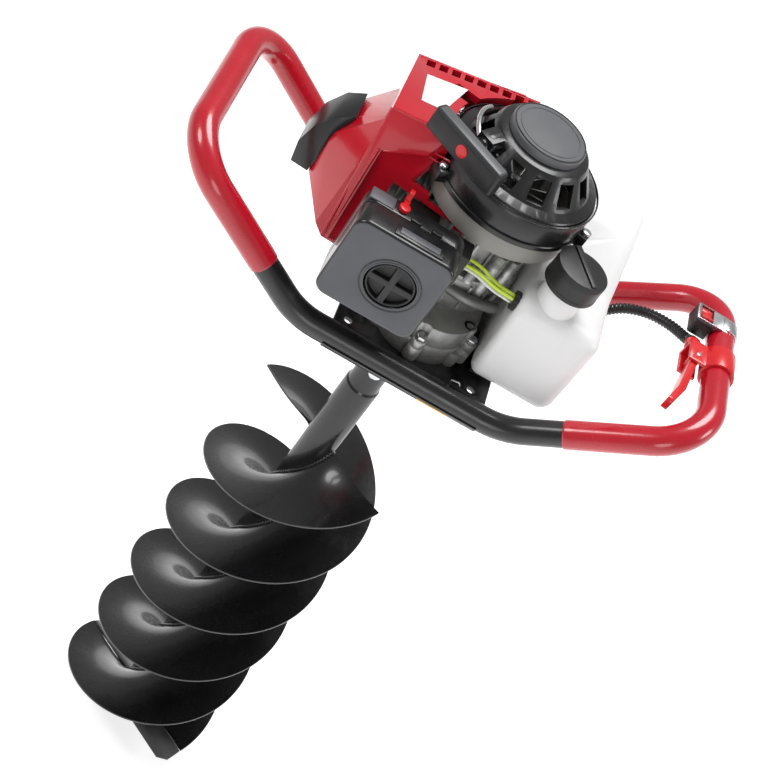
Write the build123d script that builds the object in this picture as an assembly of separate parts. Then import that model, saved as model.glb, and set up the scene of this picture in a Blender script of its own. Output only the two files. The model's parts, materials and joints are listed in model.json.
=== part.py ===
from build123d import *
import os
from itertools import combinations
from math import acos, atan, atan2, cos, pi, radians, sin, sqrt, tan

# Ice fishing auger: a two-stroke power head on a bent tube frame, driving a 200 mm double-start bit.
# Millimetres. The drive axis is Z and the handlebar lies along X, with the right-hand grip at +X.
# All sub-parts are drawn with Z = 0 in the plane of the frame's tubes, then raised by DECK_HEIGHT,
# so that the finished part's origin is the tip of the pilot point.

DECK_HEIGHT = 800.0            # pilot tip to the plane of the frame's straight tubes

# frame
TUBE_R = 12.5
TUBE_WALL = 2.0
TUBE_Y = 107.0                 # front and back tubes stand this far from the drive axis
FLAT_X = 107.6                 # the flat part of each tube ends here and the ends rise
END_X = 260.0
END_RISE = 104.0
LOW_BEND_R = 70.0
CORNER_R = 48.0
GRIP_R = 13.7
GRIP_START_X = 155.0
PLATE_T = 5.0
PLATE_X = (-75.0, 85.0)

# gear train: input pinion and output gear share the drive axis, the layshaft runs beside it
STAGE1_MODULE, STAGE1_PINION, STAGE1_WHEEL = 1.0, 12, 72
STAGE2_MODULE, STAGE2_PINION, STAGE2_WHEEL = 1.5, 12, 44
PRESSURE_ANGLE = 25.0
BACKLASH = 0.16
CENTRE_DISTANCE = STAGE1_MODULE * (STAGE1_PINION + STAGE1_WHEEL) / 2
LAYSHAFT_Y = -CENTRE_DISTANCE
RUNNING_GAP = 0.06             # radial gap of a shaft that turns in its bearing

# engine, heights over the deck plane
CASE_BOTTOM, CASE_SPLIT, CASE_TOP = 2.5, 24.0, 46.0
CLUTCH_TOP = 80.0
CRANKCASE_TOP = 138.0
FAN_TOP = 158.0
STARTER_SHOULDER = 190.0
STARTER_TOP = 228.6
CYLINDER_Z = 109.0
BORE_R = 21.0
SHAFT_R = 10.0                 # output shaft
CASE_R = 44.0
CLUTCH_R = 50.0
CRANKCASE_R = 42.0
FAN_R = 70.0
STARTER_R = 73.0
CAP_R = 36.5

# recoil starter rope: it leaves the pulley along a tangent
ROPE_Z = 208.0
ROPE_R = 1.75
PULLEY_GROOVE_R = 20.0
PULL_ANGLE = 238.0
PULL_DIR = Vector(cos(radians(PULL_ANGLE)), sin(radians(PULL_ANGLE)), 0)
PULL_SIDE = Vector(PULL_DIR.Y, -PULL_DIR.X, 0)
HANDLE_REACH = 81.0
HANDLE_LENGTH, HANDLE_HEIGHT, HANDLE_DEPTH = 84.0, 23.0, 13.0

# intake side
FILTER_X = (-113.0, -17.0)
FILTER_Z = (58.0, 150.0)
FILTER_BASE_Y, FILTER_JOINT_Y, FILTER_FACE_Y = -88.0, -106.0, -136.0
KNOB_X, KNOB_Z, KNOB_R = -58.0, 103.0, 22.0

# fuel tank
TANK_X = (54.0, 138.0)
TANK_WALL = 2.5
NECK_X, NECK_Y = 84.0, -57.0
NECK_TOP = 146.0
FUEL_CAP_BOTTOM, FUEL_CAP_TOP, FUEL_CAP_R = 141.0, 168.0, 25.5

# right-hand controls
LEVER_PIVOT = Vector(236.0, -4.0, 100.0)
LEVER_LENGTH = 78.0
LEVER_LEAN = 11.0              # degrees the free lever leans away from the grip
SWITCH_Y = 50.0
ROCKER_PIVOT = Vector(235.5, SWITCH_Y, 115.0)
ROCKER_TILT = 10.0             # the rocker's lean in the run position

# bit
FLIGHT_R = 100.0
BIT_TUBE_R = 19.0
FLIGHT_LEAD = 214.0
FLIGHT_TURNS = 2.5
FLIGHT_T = 3.0
FLIGHT_TOP = -225.0
FLIGHT_START = -34.0           # degrees round the axis, where the first flight begins
HUB_R, HUB_TOP, HUB_BOTTOM = 17.0, -58.0, -128.0
FLIGHT_BOTTOM = FLIGHT_TOP - FLIGHT_TURNS * FLIGHT_LEAD
BLADE_WIDTH = 30.0
BLADE_BACK = 2.2               # the blade stops short of the flight, and the weld fills the step
BLADE_DIP = 32.0               # degrees the blade points below the flat


# ---------------------------------------------------------------- helpers

def cyl(radius, z0, z1, x=0.0, y=0.0):
    return Pos(x, y, (z0 + z1) / 2) * Cylinder(radius, z1 - z0)


def ring(outer, inner, z0, z1, x=0.0, y=0.0):
    return cyl(outer, z0, z1, x, y) - cyl(inner, z0 - 1, z1 + 1, x, y)


def block(x0, x1, y0, y1, z0, z1):
    return Pos((x0 + x1) / 2, (y0 + y1) / 2, (z0 + z1) / 2) * Box(x1 - x0, y1 - y0, z1 - z0)


def rod_x(radius, x0, x1, y, z):
    return Pos((x0 + x1) / 2, y, z) * Rot(0, 90, 0) * Cylinder(radius, x1 - x0)


def rod_y(radius, y0, y1, x, z):
    return Pos(x, (y0 + y1) / 2, z) * Rot(90, 0, 0) * Cylinder(radius, y1 - y0)


def outline(points):
    """A flat face from its corners, facing up whichever way round they are listed."""
    twice_area = sum(a[0] * b[1] - b[0] * a[1] for a, b in zip(points, points[1:] + points[:1]))
    ordered = points if twice_area > 0 else points[::-1]
    return Polygon(*ordered, align=None)


def prism_z(points, z0, z1):
    return Pos(0, 0, z0) * extrude(outline(points), z1 - z0)


def prism_x(points, x0, x1):
    """A closed (y, z) outline carried from x0 to x1."""
    return extrude(Plane.YZ.offset(x0) * outline(points), x1 - x0)


def prism_y(points, y0, y1):
    """A closed (x, z) outline carried from y0 to y1."""
    return extrude(Plane.XZ.offset(-y1) * outline(points), y1 - y0)


def rounded_plate_y(x0, x1, z0, z1, y0, y1, corner):
    face = Plane.XZ.offset(-y1) * Pos((x0 + x1) / 2, (z0 + z1) / 2) * RectangleRounded(
        x1 - x0, z1 - z0, corner)
    return extrude(face, y1 - y0)


def polar(radius, angle, z=0.0):
    return Vector(radius * cos(radians(angle)), radius * sin(radians(angle)), z)


def around(solid, count, start=0.0):
    return [Rot(0, 0, start + 360.0 * i / count) * solid for i in range(count)]


def tube_along(points, radii, outer, inner=0.0):
    """A round bar or tube along straight runs joined by tangent arcs."""
    path = FilletPolyline(*points, radius=radii)
    start = Plane(origin=path @ 0, z_dir=path % 0)
    section = Circle(outer)
    if inner:
        section = section - Circle(inner)
    return sweep(start * section, path=path)


def cord_radii(points):
    """The largest tangent arc at each corner of a cord's route."""
    radii = []
    for before, here, after in zip(points, points[1:], points[2:]):
        turn = radians((here - before).get_angle(after - here))
        shorter = min((here - before).length, (after - here).length)
        radii.append(0.45 * shorter / tan(turn / 2))
    return radii


def cord(name, points, radius):
    radii = cord_radii(points)
    print(name, "bend radii", [round(r) for r in radii])
    return tube_along(points, radii, radius)


def hull(ax, ay, ar, bx, by, br, z0, z1):
    """Two upright cylinders and the straight walls tangent to both."""
    length = sqrt((bx - ax) ** 2 + (by - ay) ** 2)
    heading = atan2(by - ay, bx - ax)
    tilt = acos((ar - br) / length)
    corners = []
    for x, y, r, side in ((ax, ay, ar, 1), (bx, by, br, 1), (bx, by, br, -1), (ax, ay, ar, -1)):
        angle = heading + side * tilt
        corners.append((x + r * cos(angle), y + r * sin(angle)))
    return cyl(ar, z0, z1, ax, ay) + cyl(br, z0, z1, bx, by) + prism_z(corners, z0, z1)


def gear(teeth, module, z0, z1, phase):
    """An involute spur gear with the middle of one tooth at the phase angle."""
    pitch_r = module * teeth / 2
    base_r = pitch_r * cos(radians(PRESSURE_ANGLE))
    tip_r, root_r = pitch_r + module, pitch_r - 1.25 * module
    half_tooth = pi / (2 * teeth) - BACKLASH / (4 * pitch_r)
    pitch_involute = tan(radians(PRESSURE_ANGLE)) - radians(PRESSURE_ANGLE)
    first_r = max(base_r, root_r)
    steps = 4
    flank = []
    for i in range(steps + 1):
        r = first_r + (tip_r - first_r) * i / steps
        roll = acos(min(1.0, base_r / r))
        flank.append((r, half_tooth + pitch_involute - (tan(roll) - roll)))
    if root_r < base_r:
        flank.insert(0, (root_r, flank[0][1]))
    points = []
    for tooth in range(teeth):
        middle = radians(phase) + 2 * pi * tooth / teeth
        for r, half in flank:
            points.append((r * cos(middle - half), r * sin(middle - half)))
        for r, half in reversed(flank):
            points.append((r * cos(middle + half), r * sin(middle + half)))
    return prism_z(points, z0, z1)


def bolt(x, y, z_head, head_r, head_t, shank_r, length):
    """A hexagon-headed bolt whose head sits on z_head and whose shank points down."""
    head = Pos(x, y, z_head) * extrude(RegularPolygon(head_r, 6), head_t)
    return head + cyl(shank_r, z_head - length, z_head, x, y)


# ---------------------------------------------------------------- frame and grips

def loop_half(start_x, outer, inner):
    """The right half of the frame's loop, from start_x on the front to start_x on the back."""
    if start_x < FLAT_X:
        first = [(start_x, -TUBE_Y, 0), (FLAT_X, -TUBE_Y, 0)]
        radii = [LOW_BEND_R, CORNER_R, CORNER_R, LOW_BEND_R]
    else:
        rise = END_RISE * (start_x - FLAT_X) / (END_X - FLAT_X)
        first = [(start_x, -TUBE_Y, rise)]
        radii = [CORNER_R, CORNER_R]
    front = first + [(END_X, -TUBE_Y, END_RISE)]
    back = [(x, -y, z) for x, y, z in reversed(front)]
    points = [Vector(*p) for p in front + back]
    return tube_along(points, radii, outer, inner)


def make_handle_frame():
    right = loop_half(0.0, TUBE_R, TUBE_R - TUBE_WALL)
    return right + mirror(right, about=Plane.YZ)


def make_right_grip():
    return loop_half(GRIP_START_X, GRIP_R, TUBE_R)


def make_left_grip():
    return mirror(make_right_grip(), about=Plane.YZ)


PLATE_HALF_Y = TUBE_Y - TUBE_R
SPIGOT_R, SPIGOT_BOTTOM = 27.0, -26.0
PLATE_BOLTS = [(-34.0, 34.0), (34.0, 34.0), (-37.0, -62.0), (37.0, -62.0)]
PLATE_BOLT_R = 4.0
SPARE_HOLES = [(-62.0, -82.0), (-62.0, 82.0), (68.0, -82.0), (68.0, 82.0)]
SPARE_HOLE_R = 4.25


def make_base_plate():
    plate = block(*PLATE_X, -PLATE_HALF_Y, PLATE_HALF_Y, -PLATE_T / 2, PLATE_T / 2)
    plate = plate - cyl(SPIGOT_R, -10, 10)
    for x, y in PLATE_BOLTS:
        plate = plate - cyl(PLATE_BOLT_R, -10, 10, x, y)
    for x, y in SPARE_HOLES:
        plate = plate - cyl(SPARE_HOLE_R, -10, 10, x, y)
    return plate


def plate_bolts():
    """Four bolts come up through the plate into the gearbox case."""
    bolts = []
    for x, y in PLATE_BOLTS:
        upward = Rot(180, 0, 0) * bolt(x, -y, PLATE_T / 2, 7.5, 5.3, PLATE_BOLT_R, 15.0)
        bolts.append(upward)
    return bolts


# ---------------------------------------------------------------- gearbox

CASE_BOLTS = [polar(CASE_R + 4.0, a) for a in (20, 90, 160)] + [
    Vector(0, LAYSHAFT_Y, 0) + polar(CASE_R + 4.0, a) for a in (-20, -90, -160)]
CASE_BOLT_R = 3.0
BEARING_R = 21.0
CASE_BOSS_R = 7.0
BOSS_TOP = CASE_SPLIT + 9.0


def case_outline(z0, z1, inset):
    return hull(0, 0, CASE_R - inset, 0, LAYSHAFT_Y, CASE_R - inset, z0, z1)


def case_bosses(z0, z1, radius):
    bosses = [cyl(radius, z0, z1, p.X, p.Y) for p in CASE_BOLTS]
    return bosses


def make_gearbox_case():
    """The lower half: floor, walls, and the spigot that holds the output bearings."""
    body = case_outline(CASE_BOTTOM, CASE_SPLIT, 0) + cyl(SPIGOT_R, SPIGOT_BOTTOM, CASE_BOTTOM)
    for boss in case_bosses(8.0, CASE_SPLIT, CASE_BOSS_R):
        body = body + boss
    for x, y in PLATE_BOLTS:
        body = body + cyl(8.5, CASE_BOTTOM, 18.0, x, y)
    body = body - case_outline(8.5, CASE_SPLIT + 1, 5.0)
    body = body - cyl(BEARING_R, SPIGOT_BOTTOM - 1, 9)
    for x, y in PLATE_BOLTS:
        body = body - cyl(PLATE_BOLT_R, 0, 12.5, x, y)
    for hole in case_bosses(0, CASE_SPLIT + 1, CASE_BOLT_R):
        body = body - hole
    return body - cyl(9.0, 4.5, 12, 0, LAYSHAFT_Y)


def make_gearbox_cover():
    """The upper half: it carries the input bearing and the clutch housing."""
    body = case_outline(CASE_SPLIT, CASE_TOP, 0)
    for boss in case_bosses(CASE_SPLIT, BOSS_TOP, CASE_BOSS_R):
        body = body + boss
    for angle in (-20, -90, -160):
        rib = Pos(0, LAYSHAFT_Y, 0) * Rot(0, 0, angle) * block(30, CASE_R + 3, -2, 2, CASE_SPLIT, CASE_TOP - 4)
        body = body + rib
    body = body - case_outline(CASE_SPLIT - 1, 38.0, 5.0)
    body = body - cyl(13.0, 30, 50) - cyl(9.0, 37, 43, 0, LAYSHAFT_Y)
    for hole in case_bosses(0, 60, CASE_BOLT_R) + case_bosses(BOSS_TOP, 60, 6.2):
        body = body - hole
    return body


def case_bolts():
    return [bolt(p.X, p.Y, BOSS_TOP, 5.5, 4.0, CASE_BOLT_R, 22.0) for p in CASE_BOLTS]


def make_shaft_bearings():
    """Output shaft with its oil seal, layshaft, input pinion and crankshaft, from the bottom up."""
    bearings = [
        ring(BEARING_R, SHAFT_R + RUNNING_GAP, -25.5, -20.5),
        ring(BEARING_R, SHAFT_R + RUNNING_GAP, -20.0, -8.0),
        ring(BEARING_R, SHAFT_R + RUNNING_GAP, -6.0, 6.0),
        ring(9.0, 6.0 + RUNNING_GAP, 4.5, 9.0, 0, LAYSHAFT_Y),
        ring(9.0, 6.0 + RUNNING_GAP, 38.5, 43.0, 0, LAYSHAFT_Y),
        ring(13.0, 5.0 + RUNNING_GAP, 37.8, 45.8),
        ring(15.0, 7.5 + RUNNING_GAP, 82.0, 91.5),
        ring(15.0, 7.5 + RUNNING_GAP, 126.5, 136.0),
    ]
    return Compound(children=bearings)


def make_output_shaft():
    shaft = cyl(SHAFT_R, -115.0, 23.0)
    shaft = shaft + cyl(12.5, 6.6, 9.6)
    return shaft - rod_y(4.0, -20, 20, 0, -92.0)


def make_output_gear():
    wheel = gear(STAGE2_WHEEL, STAGE2_MODULE, 10.0, 22.0, -90.0)
    return wheel - cyl(SHAFT_R, 0, 40)


def make_layshaft():
    """One shaft with the driven wheel of the first stage and the pinion of the second."""
    wheel = gear(STAGE1_WHEEL, STAGE1_MODULE, 26.0, 33.0, 90.0)
    for hole in around(cyl(7.0, 20, 40, 21.0, 0), 6):
        wheel = wheel - hole
    pinion = gear(STAGE2_PINION, STAGE2_MODULE, 9.6, 22.6, 90.0 + 180.0 / STAGE2_PINION)
    return Pos(0, LAYSHAFT_Y, 0) * (wheel + pinion + cyl(6.0, 5.0, 42.5))


def make_clutch_drum():
    """The drum and the input pinion, one piece, coaxial with the output shaft."""
    drum = ring(41.0, 38.5, 52.0, 70.0) + cyl(41.0, 52.0, 54.5) + cyl(9.0, 48.5, 52.0) + cyl(5.0, 24.2, 52.0)
    for hole in around(cyl(6.0, 50, 58, 24.0, 0), 6):
        drum = drum - hole
    return drum + gear(STAGE1_PINION, STAGE1_MODULE, 25.2, 34.2, -90.0 + 180.0 / STAGE1_PINION)


def make_clutch_housing():
    body = ring(CLUTCH_R, CLUTCH_R - 4.0, CASE_TOP, CLUTCH_TOP)
    body = body + ring(CLUTCH_R, 16.0, CASE_TOP, CASE_TOP + 2.0)
    window = block(30, 60, -9, 9, 56, 70)
    for cut in around(window, 4, 45):
        body = body - cut
    return body


# ---------------------------------------------------------------- engine

def make_clutch_shoes():
    """Two shoes that swing out into the drum when the engine speeds up."""
    shoe = ring(37.4, 26.0, 57.0, 67.0) & block(3.0, 50, -50, 50, 50, 80)
    carrier = ring(25.5, 6.0, 58.0, 66.0) & block(-30, 30, -7.5, 7.5, 50, 80)
    spring = ring(31.0, 29.6, 67.0, 69.0)
    return Compound(children=[shoe, Rot(0, 0, 180) * shoe, carrier, spring])


def make_crankcase():
    body = cyl(CRANKCASE_R, CLUTCH_TOP, CRANKCASE_TOP) + block(-48, 0, -32, 32, 83, 135)
    body = body + ring(CLUTCH_R, 20, CLUTCH_TOP, CLUTCH_TOP + 5)
    for boss in around(cyl(6.5, 84, 132, 43.0, 0), 4, 30):
        body = body + boss
    body = body - cyl(31.0, 92, 126) - cyl(15.0, 70, 91.5) - cyl(15.0, 126.5, 150)
    body = body - cyl(9.0, 70, 150) - rod_x(BORE_R, -60, 0, 0, CYLINDER_Z)
    return body - block(-60, -20, -9, 9, 92, 126) - block(-60, -48, -60, 60, 70, 140)


def make_crankshaft():
    """Two webs joined by the crank pin, which stands toward the cylinder."""
    web = cyl(29.0, 0, 8.0) - block(-40, -8, 18, 40, -1, 9) - block(-40, -8, -40, -18, -1, 9)
    shaft = cyl(7.5, 92.6, 95.0) + cyl(7.5, 70.0, 94.0) + cyl(6.0, 56.0, 70.0)
    shaft = shaft + cyl(7.5, 123.0, 140.0) + cyl(6.4, 140.0, 172.0)
    shaft = shaft + Pos(0, 0, 94.0) * web + Pos(0, 0, 116.0) * web
    return shaft + cyl(8.0, 94.0, 124.0, -15.0, 0)


def make_cylinder():
    body = rod_x(27.0, -112, -48, 0, CYLINDER_Z) + block(-54, -48, -31, 31, 86, 132)
    for i in range(7):
        x = -60.0 - 8.0 * i
        upper = 28.5 if x > -FAN_R - 2 else 34.0
        body = body + block(x - 1.2, x + 1.2, -32, 34, CYLINDER_Z - 36, CYLINDER_Z + upper)
    body = body + block(-74, -48, -40, -20, 92, 126) + block(-80, -56, 20, 42, 92, 126)
    body = body - rod_x(BORE_R, -102, -40, 0, CYLINDER_Z)
    body = body - rod_y(8.0, -45, -10, -61, CYLINDER_Z) - rod_y(9.0, 10, 45, -68, CYLINDER_Z)
    return body - rod_x(5.0, -115, -100, 0, CYLINDER_Z)


def make_piston():
    body = rod_x(BORE_R - 0.05, -84, -52, 0, CYLINDER_Z) - rod_x(17.0, -78, -50, 0, CYLINDER_Z)
    return body - rod_y(5.0, -30, 30, -66, CYLINDER_Z)


def make_spark_plug():
    plug = rod_x(5.0, -114, -98, 0, CYLINDER_Z) + rod_x(8.0, -120, -112, 0, CYLINDER_Z)
    return plug + rod_x(5.5, -136, -120, 0, CYLINDER_Z) + rod_x(2.5, -144, -136, 0, CYLINDER_Z)


def make_plug_boot():
    boot = rod_x(8.5, -152, -126, 0, CYLINDER_Z) + rod_x(5.0, -152, -150, 0, CYLINDER_Z)
    return boot - rod_x(5.5, -136, -120, 0, CYLINDER_Z) - rod_x(2.5, -144, -130, 0, CYLINDER_Z)


def make_flywheel():
    disc = cyl(48.0, 142.5, 150.0) + cyl(13.0, 142.5, 157.0)
    for blade in around(block(16, 46, -0.9, 0.9, 149.5, 164.0), 14):
        disc = disc + blade
    return disc - cyl(6.4, 140, 170)


def make_fan_housing():
    """The grey pan under the starter, round the flywheel."""
    body = ring(FAN_R, FAN_R - 3.0, CRANKCASE_TOP, FAN_TOP) + ring(FAN_R, 10.0, CRANKCASE_TOP, CRANKCASE_TOP + 3.0)
    for post in around(cyl(5.0, CRANKCASE_TOP, FAN_TOP, 62.5, 0), 4, 45):
        body = body + post
    return body + (rod_x(4.0, -66.9, -55, 30, 150) - cyl(FAN_R - 1.0, 130, 170))


COIL_ANGLE = 180.0


def make_ignition_coil():
    legs = block(48.6, 62.0, -16, -9, 144, 154) + block(48.6, 62.0, 9, 16, 144, 154)
    coil = legs + block(57, 63, -16, 16, 144, 154) + block(52, 62, -8, 8, 142, 156)
    return Rot(0, 0, COIL_ANGLE) * coil


LEAD_ROUTE = [Vector(-67.7, 30, 150), Vector(-86, 31, 153), Vector(-108, 27, 152), Vector(-125, 18, 147),
              Vector(-139, 6, 137), Vector(-145.5, 1, 126), Vector(-146, 0, CYLINDER_Z + 8.8)]


def make_plug_lead():
    return cord("plug_lead", LEAD_ROUTE, 2.5)


# ---------------------------------------------------------------- exhaust and intake

def make_muffler():
    shell = block(-98, -40, 42.5, 72, 78, 137)
    shell = fillet(shell.edges().filter_by(Axis.Y), 10.0)
    body = shell - block(-95, -43, 45, 69.5, 81, 134) - rod_y(9.0, 40, 50, -68, CYLINDER_Z)
    outlet = rod_y(8.0, 70, 90, -60, 122) - rod_y(6.0, 60, 95, -60, 122)
    return body - rod_y(6.0, 60, 95, -60, 122) + outlet


def make_muffler_guard():
    guard = rounded_plate_y(-104, -34, 76, 146, 77.0, 79.0, 8.0)
    guard = guard - rod_y(9.5, 70, 90, -60, 122)
    for row in range(3):
        for column in range(4):
            x, z = -94.0 + 16.0 * column, 84.0 + 10.0 * row
            guard = guard - block(x, x + 10, 70, 90, z, z + 5)
    return guard


CARB_X = -61.0
PRIMER_X, PRIMER_Y, PRIMER_TOP, PRIMER_R = -55.0, -69.0, 86.2, 8.0


def make_carburettor():
    body = block(-79, -43, -86, -52, 92, 126) + rod_y(13.0, -88, -84, CARB_X, CYLINDER_Z)
    body = body + block(-77, -45, -82, -56, 86.5, 92) + block(-74, -48, -52, -40, 94, 124)
    body = body - rod_y(8.0, -90, -30, CARB_X, CYLINDER_Z)
    body = body - cyl(PRIMER_R + 0.4, 80, 92, PRIMER_X, PRIMER_Y)
    return body - cyl(2.5, 122, 128, -72, -69)


def make_throttle_arm():
    """The arm on top of the carburettor that the cable pulls."""
    arm = cyl(2.44, 122.5, 130.0, -72, -69) + cyl(5.0, 126.6, 129.0, -72, -69)
    return arm + block(-90, -72, -71.5, -66.5, 126.6, 129.0)


def make_primer_bulb():
    """A half ball under the carburettor that is pushed up into its pocket."""
    ball = Pos(PRIMER_X, PRIMER_Y, PRIMER_TOP) * Sphere(PRIMER_R)
    return ball & block(-80, -30, -90, -50, 60, PRIMER_TOP)


def make_filter_base():
    base = rounded_plate_y(*FILTER_X, *FILTER_Z, FILTER_JOINT_Y, FILTER_BASE_Y, 12.0)
    base = base - rounded_plate_y(FILTER_X[0] + 3, FILTER_X[1] - 3, FILTER_Z[0] + 3, FILTER_Z[1] - 3,
                                  FILTER_JOINT_Y - 1, FILTER_BASE_Y - 4, 9.0)
    base = base + rod_y(6.0, FILTER_JOINT_Y + 1, FILTER_BASE_Y - 2, KNOB_X, KNOB_Z)
    base = base - rod_y(8.0, -110, -80, CARB_X - 28.0, CYLINDER_Z) - rod_y(3.1, -120, -92, KNOB_X, KNOB_Z)
    return base - rod_y(4.0, -96, -80, CARB_X, 132.0)


def make_filter_element():
    foam = rounded_plate_y(FILTER_X[0] + 8, FILTER_X[1] - 8, FILTER_Z[0] + 8, FILTER_Z[1] - 8,
                           FILTER_JOINT_Y + 0.5, FILTER_BASE_Y - 5, 8.0)
    return foam - rod_y(8.0, -130, -80, KNOB_X, KNOB_Z)


def make_filter_cover():
    cover = rounded_plate_y(*FILTER_X, *FILTER_Z, FILTER_FACE_Y, FILTER_JOINT_Y - 0.4, 12.0)
    front = cover.faces().sort_by(Axis.Y)[0]
    cover = fillet(front.edges(), 4.0)
    cover = cover - rounded_plate_y(FILTER_X[0] + 3, FILTER_X[1] - 3, FILTER_Z[0] + 3, FILTER_Z[1] - 3,
                                    FILTER_FACE_Y + 3, FILTER_JOINT_Y + 1, 9.0)
    cover = cover + rod_y(KNOB_R + 4, FILTER_FACE_Y + 2, FILTER_FACE_Y + 13, KNOB_X, KNOB_Z)
    cover = cover - rod_y(KNOB_R + 1.2, FILTER_FACE_Y - 1, FILTER_FACE_Y + 10, KNOB_X, KNOB_Z)
    return cover - rod_y(4.0, FILTER_FACE_Y, FILTER_FACE_Y + 20, KNOB_X, KNOB_Z)


def make_filter_knob():
    """A quarter-turn knob with a cross bar across its dish."""
    face = FILTER_FACE_Y
    knob = rod_y(KNOB_R, face + 0.5, face + 9.4, KNOB_X, KNOB_Z)
    knob = knob - rod_y(KNOB_R - 2, face, face + 6, KNOB_X, KNOB_Z)
    bar = block(-KNOB_R + 1, KNOB_R - 1, 0, 6.5, -3, 3)
    knob = knob + Pos(KNOB_X, face + 0.5, KNOB_Z) * (bar + Rot(0, 90, 0) * bar)
    return knob + rod_y(3.0, face + 5, FILTER_JOINT_Y + 0.0, KNOB_X, KNOB_Z)


CHOKE_X, CHOKE_Y, CHOKE_Z = -80.0, -97.0, 150.0


def make_choke_lever():
    """It lies on the filter base and swings across it."""
    lever = cyl(5.0, CHOKE_Z + 0.4, CHOKE_Z + 4.0, CHOKE_X, CHOKE_Y)
    lever = lever + block(CHOKE_X - 2.5, CHOKE_X + 2.5, CHOKE_Y, CHOKE_Y + 16.0, CHOKE_Z + 0.4, CHOKE_Z + 4.0)
    return lever + block(CHOKE_X - 2, CHOKE_X + 2, CHOKE_Y + 10, CHOKE_Y + 16.0, CHOKE_Z + 3.5, CHOKE_Z + 12.0)


# ---------------------------------------------------------------- engine cover

PLUG_HOLE_Z = 96.0
LUG_ANGLES = (38.0, -14.0, 150.0, 212.0)


HOOD = [(-124, 84, 56), (-124, 84, 177), (-8, 84, 199), (-8, 84, 56), (-128, -26, 187), (-8, -45, 211),
        (-120, -30, 172.5), (-8, -44.5, 180), (-123, -64, 56), (-30, -68, 56)]
HOOD_INSIDE = [(-120, 80, 40), (-120, 80, 172), (12, 80, 195), (12, 80, 40), (-123, -19, 181), (12, -38, 205),
               (-115, -23, 168.5), (12, -37, 176), (-118.5, -57, 40), (12, -60, 40)]
PLUG_LOBE = [(-122, 48, 162), (-122, 6, 168), (-124, -20, 172), (-147, 32, 141), (-147, -2, 141), (-160, 40, 118),
             (-160, -10, 118), (-160, -18, 78), (-160, 44, 70), (-139, -38, 78), (-133, -60, 63), (-123, -64, 56),
             (-150, 50, 62), (-122, 60, 56)]
LOBE_CENTRE = Vector(-140, 0, 105)
FRONT_RECESS = [(-117, -33.5, 150.6), (-81.7, -33.1, 170.3), (-35.5, -40.8, 168), (-115, -39.9, 130.3),
                (-117, -60, 58), (-20, -72, 58)]
PLUG_CAP = [(-147.5, 34, 145), (-147.5, -5, 145), (-163, 36, 134), (-163, -10, 134), (-175, 28, 119),
            (-175, -11, 119), (-181, 20, 98), (-181, -13, 96), (-178, -17, 76), (-178, 22, 74),
            (-161, -21, 78), (-161, 38, 72)]


def convex(points):
    """The flat-faced solid stretched round the points."""
    points = [Vector(*p) for p in points]
    middle = sum(points, Vector(0, 0, 0)) / len(points)
    faces, found = [], set()
    for a, b, c in combinations(points, 3):
        normal = (b - a).cross(c - a)
        if normal.length < 1e-6:
            continue
        normal = normal.normalized()
        if (a - middle).dot(normal) < 0:
            normal = -normal
        heights = [(p - a).dot(normal) for p in points]
        if max(heights) > 1e-4:
            continue
        corners = [i for i, height in enumerate(heights) if height > -1e-4]
        if tuple(corners) in found:
            continue
        found.add(tuple(corners))
        centre = sum((points[i] for i in corners), Vector(0, 0, 0)) / len(corners)
        across = (points[corners[0]] - centre).normalized()
        up = normal.cross(across)
        corners.sort(key=lambda i: atan2((points[i] - centre).dot(up), (points[i] - centre).dot(across)))
        faces.append(Face(Wire.make_polygon([points[i] for i in corners])))
    return Solid(Shell(faces))


def scaled(points, centre, share):
    """The points moved away from the centre, or towards it, by the share."""
    return [tuple(centre + (Vector(*p) - centre) * share) for p in points]


def starter_lugs(r0, r1, half_width, z0, z1):
    """One radial block at each place where the starter is screwed down."""
    return [Rot(0, 0, angle) * block(r0, r1, -half_width, half_width, z0, z1) for angle in LUG_ANGLES]


def make_engine_cover():
    """The faceted hood over the cylinder, with the lobe that holds the spark plug."""
    body = (convex(HOOD) + convex(PLUG_LOBE)) - convex(HOOD_INSIDE)
    body = body - convex(scaled(PLUG_LOBE, LOBE_CENTRE, 0.89))
    body = body - block(-137, -112, -18, 24, 74, 140) - block(-128, -112, -10, 32, 130, 154)
    body = body - convex(FRONT_RECESS + [(x, -120, z) for x, y, z in FRONT_RECESS])
    body = body - cyl(STARTER_R + 2.5, 134, 240)
    body = body - block(-94, -20, -95, -28, 40, 130)
    for cut in starter_lugs(60, 100, 9.0, 140, 240):
        body = body - cut
    body = body - block(-108, -30, 76, 95, 72, 150)
    body = body - rod_x(14.0, -170, -150, 6, PLUG_HOLE_Z)
    for i in range(9):
        x = -115.0 + 12.0 * i
        body = body - block(x, x + 8, 68, 80, 165, 215)
    for i in range(5):
        z = 84.0 + 11.0 * i
        body = body - block(-135, -128, 74, 92, z, z + 5)
    return body.solids().sort_by(SortBy.VOLUME)[-1]


def make_plug_cover():
    """The black moulded cap over the spark plug, hooked over the lobe and ribbed on its outer face."""
    cap = convex(PLUG_CAP) - convex(scaled(PLUG_LOBE, LOBE_CENTRE, 1.008))
    cap = cap.solids().sort_by(SortBy.VOLUME)[-1]
    for i in range(4):
        z = 80.0 + 5.0 * i
        cap = cap - block(-190, -177.5, -7, 15, z, z + 2.4)
    return cap - rod_x(12.0, -173, -155, 6, PLUG_HOLE_Z)


# ---------------------------------------------------------------- recoil starter

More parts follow.
